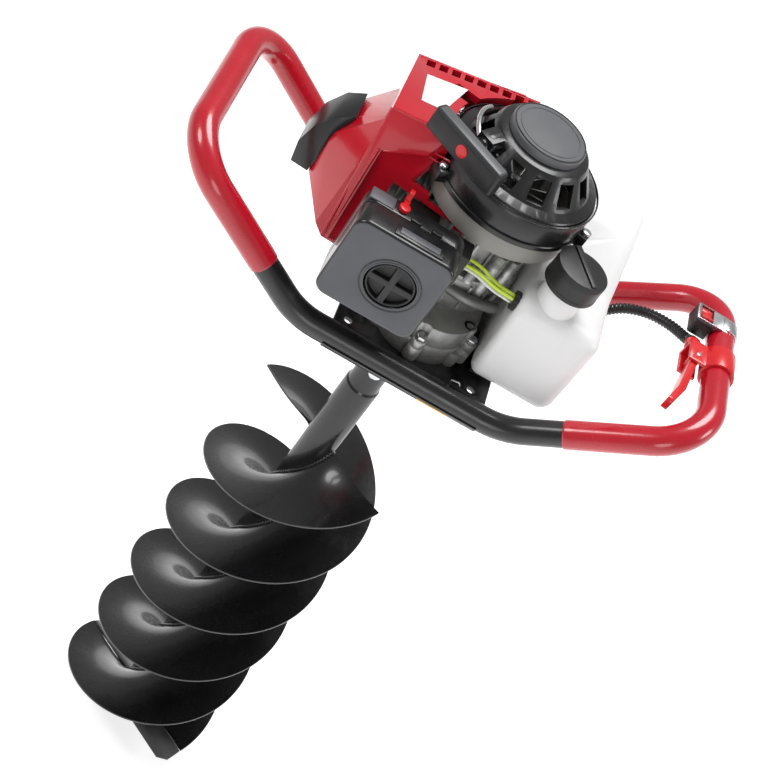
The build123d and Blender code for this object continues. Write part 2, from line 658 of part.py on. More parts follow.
def make_starter_housing():
    """A deep skirt over the fan, a sloping cage of windows, and a seat for the cap."""
    outer = [(STARTER_R, FAN_TOP), (STARTER_R, 184), (STARTER_R - 3, STARTER_SHOULDER), (61, 193), (44, 219),
             (CAP_R, 221), (0, 221)]
    inner = [(0, 218), (42, 216), (58, 191), (STARTER_R - 5, 187), (STARTER_R - 3, FAN_TOP)]
    profile = Plane.XZ * outline(outer + inner)
    body = revolve(profile, Axis.Z)
    window = block(44, 64, -8, 8, 195.5, 214.0)
    for cut in around(window, 12, PULL_ANGLE + 15.0):
        body = body - cut
    for lug in starter_lugs(STARTER_R - 2, STARTER_R + 9, 7.0, FAN_TOP, FAN_TOP + 12):
        body = body + lug
    body = body + cyl(5.0, 194.0, 220.0) + rope_guide()
    return body


def rope_guide():
    """The block with an eyelet that leads the rope out of the cage."""
    middle = PULL_SIDE * PULLEY_GROOVE_R + PULL_DIR * 50.0
    tower = Box(22.0, 16.0, 19.0) + Pos(11.0, 0, 0) * Rot(0, 90, 0) * Cone(7.0, 5.0, 7.0, align=(
        Align.CENTER, Align.CENTER, Align.MIN))
    tower = tower - Rot(0, 90, 0) * Cylinder(2.6, 60.0)
    placed = Pos(middle.X, middle.Y, ROPE_Z) * Rot(0, 0, PULL_ANGLE) * tower
    return placed - cyl(44.0, 150, 240)


def make_starter_cap():
    cap = cyl(CAP_R, 221.0, STARTER_TOP)
    return fillet(cap.edges().filter_by(GeomType.CIRCLE).sort_by(Axis.Z)[-1], 2.5)


def make_starter_pulley():
    """The pulley, with the turns of rope that stay wound on it."""
    groove = ring(PULLEY_GROOVE_R - ROPE_R, 5.1, 203.0, 213.0)
    flanges = ring(27.0, 5.1, 203.0, 205.0) + ring(27.0, 5.1, 211.0, 213.0)
    dogs = ring(18.0, 14.0, 198.0, 203.0) & block(-30, 30, -6, 6, 190, 210)
    wound = ring(PULLEY_GROOVE_R + ROPE_R, PULLEY_GROOVE_R - ROPE_R, ROPE_Z - 2.6, ROPE_Z + 2.6)
    return Compound(children=[groove + flanges + dogs, wound])


def rope_rod(radius, start, end):
    origin = PULL_SIDE * PULLEY_GROOVE_R + PULL_DIR * start + Vector(0, 0, ROPE_Z)
    return extrude(Plane(origin=origin, z_dir=PULL_DIR) * Circle(radius), end - start)


def make_starter_rope():
    """The short straight end of the rope between the guide and the T-handle."""
    return rope_rod(ROPE_R, 68.3, HANDLE_REACH - HANDLE_DEPTH / 2)


def make_recoil_spring():
    return ring(26.0, 8.0, 213.8, 216.6) - ring(24.0, 10.0, 215.2, 220)


def make_starter_handle():
    bar = Box(HANDLE_DEPTH, HANDLE_LENGTH, HANDLE_HEIGHT)
    bar = fillet(bar.edges().filter_by(Axis.Z), 3.0)
    bar = fillet(bar.faces().sort_by(Axis.Z)[-1].edges(), 2.0)
    centre = PULL_SIDE * PULLEY_GROOVE_R + PULL_DIR * HANDLE_REACH
    placed = Pos(centre.X, centre.Y, ROPE_Z) * Rot(0, 0, PULL_ANGLE) * bar
    return placed


def starter_screws():
    places = [polar(STARTER_R + 4.5, angle) for angle in LUG_ANGLES]
    return [cyl(4.0, FAN_TOP + 12.0, FAN_TOP + 15.5, p.X, p.Y) for p in places]


def make_bolts():
    """Every outside fastener, one solid each: plate, gearbox case and starter."""
    return Compound(children=plate_bolts() + case_bolts() + starter_screws())


# ---------------------------------------------------------------- fuel system

def tank_form(inset):
    side = [(-84, 16), (-84, 118), (-12, 120), (44, 148), (95, 164), (95, 16)]
    face = outline(side)
    face = fillet(face.vertices(), 16.0)
    if inset:
        face = offset(face, -inset)
    body = extrude(Plane.YZ.offset(TANK_X[0] + inset) * face, TANK_X[1] - TANK_X[0] - 2 * inset)
    outer_face = body.faces().sort_by(Axis.X)[-1]
    body = fillet(outer_face.edges(), 14.0 - inset)
    body = fillet(body.faces().sort_by(Axis.X)[0].edges(), 9.0 - inset)
    return body - cyl(STARTER_R + 11.0 + inset, 134.0 - inset, 200)


def make_fuel_tank():
    body = tank_form(0) + cyl(20.0, 110.0, NECK_TOP, NECK_X, NECK_Y)
    body = body - tank_form(TANK_WALL) - cyl(17.0, 105.0, NECK_TOP + 1, NECK_X, NECK_Y)
    return body - rod_x(6.0, 40, 70, -66, 104)


def make_cap_gasket():
    return ring(19.5, 14.0, NECK_TOP + 0.3, NECK_TOP + 2.0, NECK_X, NECK_Y)


def make_fuel_cap():
    """A screw cap with a half-moon plate and a grip ridge across its top."""
    cap = cyl(FUEL_CAP_R, FUEL_CAP_BOTTOM, FUEL_CAP_TOP - 6, NECK_X, NECK_Y)
    cap = cap - cyl(20.5, FUEL_CAP_BOTTOM - 1, NECK_TOP + 2.4, NECK_X, NECK_Y)
    half = cyl(FUEL_CAP_R, FUEL_CAP_TOP - 6, FUEL_CAP_TOP - 2, NECK_X, NECK_Y)
    half = half & (Pos(NECK_X, NECK_Y, 0) * Rot(0, 0, 30) * block(-40, 3, -40, 40, 100, 200))
    ridge = Pos(NECK_X, NECK_Y, 0) * Rot(0, 0, 30) * block(-2, 4, -24, 24, FUEL_CAP_TOP - 6, FUEL_CAP_TOP)
    return cap + half + ridge


def tank_grommet():
    outer = rod_x(9.0, TANK_X[0] - 5.0, TANK_X[0], -66, 104) + rod_x(6.0, TANK_X[0], TANK_X[0] + 5, -66, 104)
    return outer - rod_x(1.6, 40, 70, -69, 106) - rod_x(1.6, 40, 70, -63, 106) - rod_x(1.6, 40, 70, -66, 100)


def make_fuel_lines():
    """Supply, return and primer hoses, and the grommet that holds them in the tank's wall."""
    lines = []
    for y, z, start_y, start_z in ((-69, 106, -78, 118), (-63, 106, -70, 120), (-66, 100, -74, 112)):
        points = [Vector(-43, start_y, start_z), Vector(-20, start_y, start_z + 1),
                  Vector(8, (start_y + y) / 2 - 1, start_z - 1), Vector(30, y, z + 1), Vector(TANK_X[0] - 5, y, z)]
        lines.append(cord("fuel_line", points, 1.6))
    return Compound(children=lines + [tank_grommet()])


def make_tank_bracket():
    body = block(60, 84, -60, 40, 2.5, 4.5) + block(60, 62, -60, 40, 4.5, 13.5)
    return body + block(60, 128, -60, 40, 13.5, 15.8)


# ---------------------------------------------------------------- right-hand controls

def make_throttle_bracket():
    """A clamp round the grip with two ears for the lever's pivot."""
    band = rod_y(GRIP_R + 3.0, -14, 14, END_X, END_RISE) - rod_y(GRIP_R + 0.05, -20, 20, END_X, END_RISE)
    ears = block(227, 245.2, -14, 14, 107.5, 110.5) + block(227, 245.2, -14, 14, 88.5, 91.5)
    back = block(227, 245.2, 10, 14, 88.5, 110.5)
    ears = (ears + back) - rod_y(GRIP_R + 1.0, -20, 20, END_X, END_RISE)
    body = band + ears + rod_y(7.5, 14, 22, 233.5, 100.0)
    body = body - rod_y(2.0, 0, 40, 233.5, 100.0)
    return body - cyl(2.5, 80, 120, LEVER_PIVOT.X, LEVER_PIVOT.Y)


def make_lever_pin():
    return cyl(2.5, 87.5, 111.5, LEVER_PIVOT.X, LEVER_PIVOT.Y)


def make_throttle_lever():
    bend = LEVER_LENGTH - 26.0
    plan = [(-3.5, 0), (3.5, 0), (4, -bend), (-1.5, -LEVER_LENGTH), (-8, -LEVER_LENGTH), (-3.5, -bend)]
    blade = prism_z(plan, -7.5, 7.5)
    blade = fillet(blade.edges().filter_by(Axis.X), 4.0)
    blade = blade + cyl(5.5, -7.5, 7.5)
    blade = blade - cyl(2.5 + RUNNING_GAP, -20, 20)
    placed = Pos(LEVER_PIVOT.X, LEVER_PIVOT.Y, LEVER_PIVOT.Z - 0.5) * Rot(0, 0, -LEVER_LEAN)
    return placed * blade


def make_switch_bracket():
    """A steel strap over the grip, its free end flat on the switch."""
    low, high = SWITCH_Y - 8, SWITCH_Y + 8
    grip = rod_y(GRIP_R + 0.05, low - 5, high + 5, END_X, END_RISE)
    band = rod_y(GRIP_R + 1.6, low, high, END_X, END_RISE) - grip
    tongue = block(226, 262, low - 3, high + 3, 116.2, 117.7) - grip
    window = block(228.6, 242.4, SWITCH_Y - 10, SWITCH_Y + 10, 110, 125)
    return band + tongue - window


def make_kill_switch():
    housing = block(226, 245, SWITCH_Y - 13, SWITCH_Y + 13, 98, 116.1)
    housing = housing - rod_y(GRIP_R + 1.7, 0, 120, END_X, END_RISE)
    return housing - block(229.1, 241.9, SWITCH_Y - 9.5, SWITCH_Y + 9.5, 108, 120)


def make_switch_rocker():
    rocker = Box(12.0, 16.5, 5.0) - Pos(0, 0, 9.5) * Rot(0, 90, 0) * Cylinder(8.2, 20.0)
    return Pos(*ROCKER_PIVOT) * Rot(-ROCKER_TILT, 0, 0) * rocker


CONDUIT_ROUTE = [Vector(233.5, 26.2, 98.5), Vector(232.5, 35, 91), Vector(216, 52, 84), Vector(195, 62, 76),
                 Vector(174, 66, 64), Vector(158, 66, 46), Vector(152, 65, 27), Vector(134, 64, 9.0),
                 Vector(92, 63, 9.1), Vector(40, 65, 9.3), Vector(-16, 64, 9.2), Vector(-58, 52, 12),
                 Vector(-85, 20, 24), Vector(-90, -20, 36), Vector(-80, -50, 51), Vector(-73, -68, 68),
                 Vector(-72, -69, 86)]
CONDUIT_R = 5.5


def make_cable_conduit():
    return cord("cable_conduit", CONDUIT_ROUTE, CONDUIT_R)


# ---------------------------------------------------------------- bit

def make_auger_tube():
    """The bit's tube, with the narrower hub at its top that takes the output shaft."""
    body = cyl(BIT_TUBE_R, FLIGHT_BOTTOM + 2, HUB_BOTTOM) + cyl(HUB_R, HUB_BOTTOM - 4, HUB_TOP)
    body = body - cyl(SHAFT_R, -116, 0)
    body = body - cyl(BIT_TUBE_R - 3.0, FLIGHT_BOTTOM + 6, HUB_BOTTOM - 8)
    return body - rod_y(4.0, -30, 30, 0, -92.0)


def make_coupling_pin():
    pin = rod_y(4.0, -20, 20, 0, -92.0)
    return pin + rod_y(6.5, -24, -20, 0, -92.0)


def make_flight(start_angle):
    """One right-hand flight: a radial section carried down a helix."""
    middle_r = (FLIGHT_R + BIT_TUBE_R) / 2
    path = Helix(FLIGHT_LEAD, FLIGHT_TURNS * FLIGHT_LEAD, middle_r)
    start = Plane(origin=path @ 0, x_dir=(1, 0, 0), z_dir=path % 0)
    section = start * Rectangle(FLIGHT_R - BIT_TUBE_R, FLIGHT_T)
    flight = sweep(section, path=path, is_frenet=True)
    return Pos(0, 0, FLIGHT_BOTTOM) * Rot(0, 0, start_angle) * flight


def make_flight_a():
    return make_flight(FLIGHT_START)


def make_flight_b():
    return make_flight(FLIGHT_START + 180.0)


def make_cutting_blades():
    """One flat blade carries on each flight's lower edge, steeper than the flight."""
    blade = block(BIT_TUBE_R + 3, FLIGHT_R, -BLADE_WIDTH, -BLADE_BACK, -FLIGHT_T, 0)
    corner = Pos(FLIGHT_R, -BLADE_WIDTH, 0) * Rot(0, 0, 40) * Box(40, 14, 20)
    blade = Rot(BLADE_DIP, 0, 0) * (blade - corner)
    placed = Pos(0, 0, FLIGHT_BOTTOM + FLIGHT_T / 2) * Rot(0, 0, FLIGHT_START) * blade
    return Compound(children=[placed, Rot(0, 0, 180) * placed])


def make_pilot_point():
    shank = cyl(9.0, FLIGHT_BOTTOM - 14, FLIGHT_BOTTOM + 2)
    tip = Pos(0, 0, -DECK_HEIGHT) * Cone(0.4, 9.0, DECK_HEIGHT + FLIGHT_BOTTOM - 14, align=(
        Align.CENTER, Align.CENTER, Align.MIN))
    return shank + tip


SUB_PARTS = {
    "handle_frame": make_handle_frame,
    "left_grip": make_left_grip,
    "right_grip": make_right_grip,
    "base_plate": make_base_plate,
    "bolts": make_bolts,
    "gearbox_case": make_gearbox_case,
    "gearbox_cover": make_gearbox_cover,
    "shaft_bearings": make_shaft_bearings,
    "output_shaft": make_output_shaft,
    "output_gear": make_output_gear,
    "layshaft": make_layshaft,
    "clutch_drum": make_clutch_drum,
    "clutch_housing": make_clutch_housing,
    "clutch_shoes": make_clutch_shoes,
    "crankcase": make_crankcase,
    "crankshaft": make_crankshaft,
    "cylinder": make_cylinder,
    "piston": make_piston,
    "spark_plug": make_spark_plug,
    "plug_boot": make_plug_boot,
    "plug_lead": make_plug_lead,
    "flywheel": make_flywheel,
    "fan_housing": make_fan_housing,
    "ignition_coil": make_ignition_coil,
    "muffler": make_muffler,
    "muffler_guard": make_muffler_guard,
    "carburettor": make_carburettor,
    "throttle_arm": make_throttle_arm,
    "primer_bulb": make_primer_bulb,
    "filter_base": make_filter_base,
    "filter_element": make_filter_element,
    "filter_cover": make_filter_cover,
    "filter_knob": make_filter_knob,
    "choke_lever": make_choke_lever,
    "engine_cover": make_engine_cover,
    "plug_cover": make_plug_cover,
    "starter_housing": make_starter_housing,
    "starter_cap": make_starter_cap,
    "starter_pulley": make_starter_pulley,
    "recoil_spring": make_recoil_spring,
    "starter_rope": make_starter_rope,
    "starter_handle": make_starter_handle,
    "fuel_tank": make_fuel_tank,
    "tank_bracket": make_tank_bracket,
    "fuel_cap": make_fuel_cap,
    "cap_gasket": make_cap_gasket,
    "fuel_lines": make_fuel_lines,
    "throttle_bracket": make_throttle_bracket,
    "throttle_lever": make_throttle_lever,
    "lever_pin": make_lever_pin,
    "switch_bracket": make_switch_bracket,
    "kill_switch": make_kill_switch,
    "switch_rocker": make_switch_rocker,
    "cable_conduit": make_cable_conduit,
    "auger_tube": make_auger_tube,
    "coupling_pin": make_coupling_pin,
    "flight_a": make_flight_a,
    "flight_b": make_flight_b,
    "cutting_blades": make_cutting_blades,
    "pilot_point": make_pilot_point,
}


def main():
    os.makedirs("parts", exist_ok=True)
    for name, make in SUB_PARTS.items():
        solid = make()
        export_step(Pos(0, 0, DECK_HEIGHT) * solid, f"parts/{name}.step")


main()
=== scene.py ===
import bpy
import bmesh
import json
from math import cos, pi, radians, sin, tan
from mathutils import Matrix, Quaternion, Vector


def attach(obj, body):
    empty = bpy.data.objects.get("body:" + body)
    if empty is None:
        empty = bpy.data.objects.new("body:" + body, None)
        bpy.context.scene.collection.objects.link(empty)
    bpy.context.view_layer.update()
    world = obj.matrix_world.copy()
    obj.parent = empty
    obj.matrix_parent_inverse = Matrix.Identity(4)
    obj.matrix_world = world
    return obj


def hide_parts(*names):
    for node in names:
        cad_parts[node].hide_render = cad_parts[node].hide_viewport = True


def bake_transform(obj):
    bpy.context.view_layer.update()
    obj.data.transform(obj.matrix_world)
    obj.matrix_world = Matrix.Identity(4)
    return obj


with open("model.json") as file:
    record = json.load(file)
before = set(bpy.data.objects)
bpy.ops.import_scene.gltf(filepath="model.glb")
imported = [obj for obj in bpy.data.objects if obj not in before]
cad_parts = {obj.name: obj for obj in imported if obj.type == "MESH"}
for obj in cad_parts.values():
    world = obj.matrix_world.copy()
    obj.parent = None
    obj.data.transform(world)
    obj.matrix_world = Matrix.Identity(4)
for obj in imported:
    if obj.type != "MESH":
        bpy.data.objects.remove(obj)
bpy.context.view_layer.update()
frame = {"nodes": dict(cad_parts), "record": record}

MM = 0.001
DECK = 0.8                                   # the frame tubes' plane above the pilot tip
TUBE_Y, FLAT_X, END_X, END_RISE = 0.107, 0.1076, 0.26, 0.104
TUBE_R, GRIP_R = 0.0125, 0.0137
LOW_BEND_R, CORNER_R = 0.070, 0.048
GRIP_START_X = 0.155


# ---------------------------------------------------------------- camera, floor and light

FLOOR_SIZE, FLOOR_DROP, FLOOR_GLOW = 160.0, 0.0005, 0.62
SURROUND = 0.34

# name, place, target, diameter and watts
LAMPS = (("overhead", (0.15, 0.8, 2.9), (-0.02, 0, 0.85), 1.3, 42.0),
         ("key", (-1.7, -0.5, 2.5), (-0.05, 0, 0.8), 0.9, 17.0),
         ("front", (0.5, -2.4, 1.5), (0, 0, 0.7), 1.1, 9.0),
         ("side", (2.2, -0.3, 1.7), (0, 0, 0.7), 0.8, 10.0))


def at_deck(x, y, z):
    """A point given in millimetres from the deck plane's centre."""
    return Vector((x * MM, y * MM, z * MM + DECK))


def make_camera():
    camera = bpy.data.objects.new("camera", bpy.data.cameras.new("camera"))
    bpy.context.scene.collection.objects.link(camera)
    azimuth, elevation, roll = radians(12.09), radians(41.13), radians(37.56)
    forward = Vector((sin(azimuth) * cos(elevation), cos(azimuth) * cos(elevation), -sin(elevation)))
    camera.location = at_deck(-236.6, -1209.8, 962.5)
    camera.rotation_mode = "QUATERNION"
    camera.rotation_quaternion = forward.to_track_quat("-Z", "Y") @ Quaternion((0, 0, 1), roll)
    camera.data.sensor_width = 36.0
    camera.data.lens = 76.45
    camera.data.clip_end = 150.0
    bpy.context.scene.camera = camera


def area_light(name, place, target, size, power):
    light = bpy.data.lights.new(name, "AREA")
    light.shape = "DISK"
    light.size = size
    light.energy = power
    lamp = bpy.data.objects.new(name, light)
    bpy.context.scene.collection.objects.link(lamp)
    lamp.location = place
    lamp.rotation_mode = "QUATERNION"
    lamp.rotation_quaternion = (Vector(target) - Vector(place)).to_track_quat("-Z", "Y")


def make_stage():
    """A pale floor that gives off a little light itself, four soft lamps and a white surround."""
    bpy.ops.mesh.primitive_plane_add(size=FLOOR_SIZE, location=(0, 0, -FLOOR_DROP))
    floor = bpy.context.object
    floor.name = "floor"
    white = plain_material("floor_white", (0.92, 0.92, 0.92), 0.9)
    shader = white.node_tree.nodes["Principled BSDF"]
    shader.inputs["Emission Color"].default_value = (1, 1, 1, 1)
    shader.inputs["Emission Strength"].default_value = FLOOR_GLOW
    shader.inputs["Specular IOR Level"].default_value = 0.1
    floor.data.materials.append(white)
    for name, place, target, size, power in LAMPS:
        area_light(name, place, target, size, power)
    world = bpy.data.worlds.new("studio")
    world.use_nodes = True
    background = world.node_tree.nodes["Background"]
    background.inputs["Color"].default_value = (1, 1, 1, 1)
    background.inputs["Strength"].default_value = SURROUND
    bpy.context.scene.world = world
    bpy.context.scene.view_settings.view_transform = "Standard"


# ---------------------------------------------------------------- materials

def plain_material(name, colour, roughness, metallic=0.0):
    material = bpy.data.materials.new(name)
    material.use_nodes = True
    shader = material.node_tree.nodes["Principled BSDF"]
    shader.inputs["Base Color"].default_value = (*colour, 1)
    shader.inputs["Roughness"].default_value = roughness
    shader.inputs["Metallic"].default_value = metallic
    return material


def noise(tree, scale, detail=4.0, stretch=None):
    """A noise texture in object coordinates, optionally stretched along an axis."""
    coordinates = tree.nodes.new("ShaderNodeTexCoord")
    texture = tree.nodes.new("ShaderNodeTexNoise")
    texture.inputs["Scale"].default_value = scale
    texture.inputs["Detail"].default_value = detail
    source = coordinates.outputs["Object"]
    if stretch:
        mapping = tree.nodes.new("ShaderNodeMapping")
        mapping.inputs["Scale"].default_value = stretch
        tree.links.new(source, mapping.inputs["Vector"])
        source = mapping.outputs["Vector"]
    tree.links.new(source, texture.inputs["Vector"])
    return texture.outputs["Fac"]


def ramp(tree, source, low, high, from_value=0.3, to_value=0.7):
    """The source spread between two numbers or two colours."""
    node = tree.nodes.new("ShaderNodeValToRGB")
    stops = node.color_ramp.elements
    stops[0].position, stops[1].position = from_value, to_value
    stops[0].color = (*low, 1) if isinstance(low, tuple) else (low, low, low, 1)
    stops[1].color = (*high, 1) if isinstance(high, tuple) else (high, high, high, 1)
    tree.links.new(source, node.inputs["Fac"])
    return node.outputs["Color"]


def surface(name, low, high, rough, metallic=0.0, grain=(900.0, 0.04), blotch=14.0, coat=0.0, coat_rough=0.08,
            stretch=None, edge=None):
    """One procedural finish: colour that drifts, roughness that varies, fine grain as bump, worn edges."""
    material = bpy.data.materials.new(name)
    material.use_nodes = True
    tree = material.node_tree
    shader = tree.nodes["Principled BSDF"]
    colour = ramp(tree, noise(tree, blotch, 3.0), low, high)
    if edge:
        geometry = tree.nodes.new("ShaderNodeNewGeometry")
        worn = ramp(tree, geometry.outputs["Pointiness"], 0.0, 1.0, 0.53, 0.60)
        broken = ramp(tree, noise(tree, 120.0, 5.0), 0.0, 1.0, 0.42, 0.62)
        both = tree.nodes.new("ShaderNodeMath")
        both.operation = "MULTIPLY"
        tree.links.new(worn, both.inputs[0])
        tree.links.new(broken, both.inputs[1])
        mix = tree.nodes.new("ShaderNodeMix")
        mix.data_type = "RGBA"
        tree.links.new(both.outputs[0], mix.inputs["Factor"])
        tree.links.new(colour, mix.inputs["A"])
        mix.inputs["B"].default_value = (*edge, 1)
        colour = mix.outputs["Result"]
    tree.links.new(colour, shader.inputs["Base Color"])
    tree.links.new(ramp(tree, noise(tree, 38.0, 6.0), rough[0], rough[1]), shader.inputs["Roughness"])
    shader.inputs["Metallic"].default_value = metallic
    shader.inputs["Coat Weight"].default_value = coat
    shader.inputs["Coat Roughness"].default_value = coat_rough
    bump = tree.nodes.new("ShaderNodeBump")
    bump.inputs["Strength"].default_value = grain[1]
    bump.inputs["Distance"].default_value = 0.0004
    tree.links.new(noise(tree, grain[0], 3.0, stretch), bump.inputs["Height"])
    tree.links.new(bump.outputs["Normal"], shader.inputs["Normal"])
    return material


def tank_material():
    """Translucent blow-moulded polyethylene: light passes under the surface."""
    material = surface("tank_poly", (0.86, 0.86, 0.85), (0.93, 0.93, 0.92), (0.32, 0.46), grain=(260.0, 0.10),
                       blotch=9.0)
    shader = material.node_tree.nodes["Principled BSDF"]
    shader.inputs["Subsurface Weight"].default_value = 0.35
    shader.inputs["Subsurface Radius"].default_value = (0.02, 0.02, 0.018)
    shader.inputs["Subsurface Scale"].default_value = 0.5
    return material


def hose_material(name, colour):
    lighter = tuple(min(1.0, c * 1.15) for c in colour)
    material = surface(name, colour, lighter, (0.15, 0.25), grain=(60.0, 0.02))
    shader = material.node_tree.nodes["Principled BSDF"]
    shader.inputs["Subsurface Weight"].default_value = 0.4
    shader.inputs["Subsurface Radius"].default_value = (0.004, 0.004, 0.002)
    return material


MATERIALS = {
    "tube_black": surface("tube_black", (0.006, 0.006, 0.007), (0.011, 0.011, 0.012), (0.26, 0.40), coat=0.35,
                          coat_rough=0.2, grain=(420.0, 0.10)),
    "grip_red": surface("grip_red", (0.44, 0.003, 0.014), (0.52, 0.005, 0.020), (0.20, 0.32), coat=0.6,
                        grain=(160.0, 0.03)),
    "cover_red": surface("cover_red", (0.52, 0.004, 0.016), (0.60, 0.008, 0.024), (0.18, 0.28), coat=0.8,
                         grain=(220.0, 0.05)),
    "red_part": surface("red_part", (0.60, 0.006, 0.010), (0.70, 0.012, 0.016), (0.25, 0.40), coat=0.3,
                        grain=(700.0, 0.08)),
    "bit_black": surface("bit_black", (0.006, 0.006, 0.007), (0.010, 0.010, 0.011), (0.20, 0.32), coat=0.45,
                         coat_rough=0.10, grain=(70.0, 0.10)),
    "black_plastic": surface("black_plastic", (0.007, 0.007, 0.008), (0.013, 0.013, 0.014), (0.36, 0.50),
                             grain=(1500.0, 0.16)),
    "black_gloss": surface("black_gloss", (0.006, 0.006, 0.007), (0.010, 0.010, 0.011), (0.24, 0.36),
                           coat=0.2, grain=(900.0, 0.05)),
    "grey_plastic": surface("grey_plastic", (0.075, 0.077, 0.088), (0.095, 0.097, 0.108), (0.34, 0.46),
                            grain=(1600.0, 0.14)),
    "cast": surface("cast", (0.30, 0.30, 0.29), (0.42, 0.42, 0.41), (0.36, 0.56), metallic=0.7,
                    grain=(520.0, 0.30), blotch=30.0, edge=(0.72, 0.72, 0.71)),
    "cast_dark": surface("cast_dark", (0.20, 0.20, 0.20), (0.30, 0.30, 0.29), (0.42, 0.62), metallic=0.85,
                         grain=(520.0, 0.30), blotch=30.0),
    "pan_grey": surface("pan_grey", (0.30, 0.29, 0.27), (0.38, 0.37, 0.34), (0.45, 0.60), metallic=0.3,
                        grain=(600.0, 0.20)),
    "steel": surface("steel", (0.48, 0.48, 0.49), (0.62, 0.62, 0.63), (0.22, 0.36), metallic=1.0,
                     grain=(300.0, 0.08), stretch=(1, 1, 18)),
    "zinc": surface("zinc", (0.62, 0.63, 0.65), (0.76, 0.76, 0.78), (0.20, 0.34), metallic=1.0,
                    grain=(500.0, 0.08)),
    "blade_steel": surface("blade_steel", (0.10, 0.10, 0.105), (0.18, 0.18, 0.185), (0.24, 0.38),
                           metallic=1.0, grain=(260.0, 0.12), stretch=(14, 1, 1)),
    "muffler": surface("muffler", (0.26, 0.23, 0.20), (0.42, 0.38, 0.34), (0.30, 0.50), metallic=1.0,
                       grain=(300.0, 0.10), blotch=26.0),
    "rubber": surface("rubber", (0.010, 0.010, 0.010), (0.020, 0.020, 0.020), (0.55, 0.72),
                      grain=(800.0, 0.14)),
    "foam": surface("foam", (0.05, 0.05, 0.05), (0.10, 0.10, 0.10), (0.85, 0.95), grain=(450.0, 0.9)),
    "rope": surface("rope", (0.04, 0.04, 0.04), (0.10, 0.10, 0.10), (0.6, 0.8), grain=(500.0, 0.6),
                    stretch=(1, 1, 3)),
    "cap_grey": surface("cap_grey", (0.10, 0.102, 0.11), (0.125, 0.127, 0.135), (0.30, 0.42),
                        grain=(1500.0, 0.10)),
    "label": surface("label", (0.80, 0.81, 0.79), (0.88, 0.88, 0.87), (0.40, 0.55), grain=(400.0, 0.05)),
    "orange": surface("orange", (0.75, 0.36, 0.02), (0.85, 0.44, 0.04), (0.4, 0.5), grain=(400.0, 0.05)),
    "hose_green": hose_material("hose_green", (0.62, 0.80, 0.06)),
    "hose_clear": hose_material("hose_clear", (0.80, 0.80, 0.76)),
    "primer": hose_material("primer_clear", (0.75, 0.70, 0.60)),
    "tank": tank_material(),
}


# ---------------------------------------------------------------- mesh helpers

ROUNDED_FROM, SHARP_FROM = 32.0, 38.0        # edge angles in degrees: bevelled above, shaded sharp above


def new_object(name, mesh, material, body, *nodes):
    piece = bpy.data.objects.new(name, mesh)
    bpy.context.scene.collection.objects.link(piece)
    mesh.materials.clear()
    mesh.materials.append(MATERIALS[material])
    if body:
        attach(piece, body)
    if nodes:
        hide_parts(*nodes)
    return piece


def finish_mesh(name, bm, smooth_angle=35.0):
    bmesh.ops.remove_doubles(bm, verts=bm.verts, dist=1e-6)
    bmesh.ops.recalc_face_normals(bm, faces=bm.faces)
    mesh = bpy.data.meshes.new(name)
    bm.to_mesh(mesh)
    bm.free()
    mesh.shade_smooth()
    mesh.set_sharp_from_angle(angle=radians(smooth_angle))
    return mesh


def apply_modifiers(piece):
    evaluated = piece.evaluated_get(bpy.context.evaluated_depsgraph_get())
    baked = bpy.data.meshes.new_from_object(evaluated)
    piece.modifiers.clear()
    piece.data = baked


def bevelled(name, mesh, width, material, body, nodes=(), segments=2):
    """A mesh with every sharp edge rounded to the width, as a moulding or casting has."""
    piece = bpy.data.objects.new(name, mesh)
    bpy.context.scene.collection.objects.link(piece)
    if width:
        bevel = piece.modifiers.new("round", "BEVEL")
        bevel.width = width
        bevel.segments = segments
        bevel.limit_method = "ANGLE"
        bevel.angle_limit = radians(ROUNDED_FROM)
        bevel.use_clamp_overlap = True
        bevel.harden_normals = False
        apply_modifiers(piece)
    piece.data.shade_smooth()
    piece.data.set_sharp_from_angle(angle=radians(SHARP_FROM))
    piece.data.materials.clear()
    piece.data.materials.append(MATERIALS[material])
    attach(piece, body)
    if nodes:
        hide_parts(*nodes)
    return piece


NODE_BODY = {node: body for body, nodes in frame["record"]["behaviour"]["bodies"].items() for node in nodes}


def node_mesh(node):
    """A clean copy of a CAD node's mesh, its flat faces joined."""
    source = frame["nodes"][node]
    bm = bmesh.new()
    bm.from_mesh(source.data)
    bm.transform(source.matrix_world)
    bmesh.ops.remove_doubles(bm, verts=bm.verts, dist=2e-6)
    bmesh.ops.dissolve_limit(bm, angle_limit=radians(0.6), verts=bm.verts, edges=bm.edges)
    mesh = bpy.data.meshes.new(node + "_skin")
    bm.to_mesh(mesh)
    bm.free()
    return mesh


def refine(node, material, width=0.0006, segments=2):
    """Stands for a CAD node with the same shape, its edges rounded and its finish on."""
    return bevelled(node + "_skin", node_mesh(node), width, material, NODE_BODY[node], (node,), segments)


def paint(piece, material, chosen):
    """Gives a second finish to the faces that the test chooses."""
    piece.data.materials.append(MATERIALS[material])
    last = len(piece.data.materials) - 1
    for face in piece.data.polygons:
        if chosen(face):
            face.material_index = last


def rounded_path(points, radii, closed=False, step=radians(5)):
    """Straight runs joined by tangent arcs, as a list of points."""
    count = len(points)
    path = []
    for i, here in enumerate(points):
        if not closed and i in (0, count - 1):
            path.append(here.copy())
            continue
        before, after = points[i - 1], points[(i + 1) % count]
        inward, outward = (here - before).normalized(), (after - here).normalized()
        turn = inward.angle(outward)
        if turn < radians(0.5):
            path.append(here.copy())
            continue
        reach = radii[i] * tan(turn / 2)
        start = here - inward * reach
        centre_way = (outward - inward).normalized()
        centre = here + centre_way * (radii[i] / cos(turn / 2))
        axis = inward.cross(outward).normalized()
        pieces = max(2, int(turn / step))
        for k in range(pieces + 1):
            spin = Quaternion(axis, turn * k / pieces)
            path.append(centre + spin @ (start - centre))
    return path


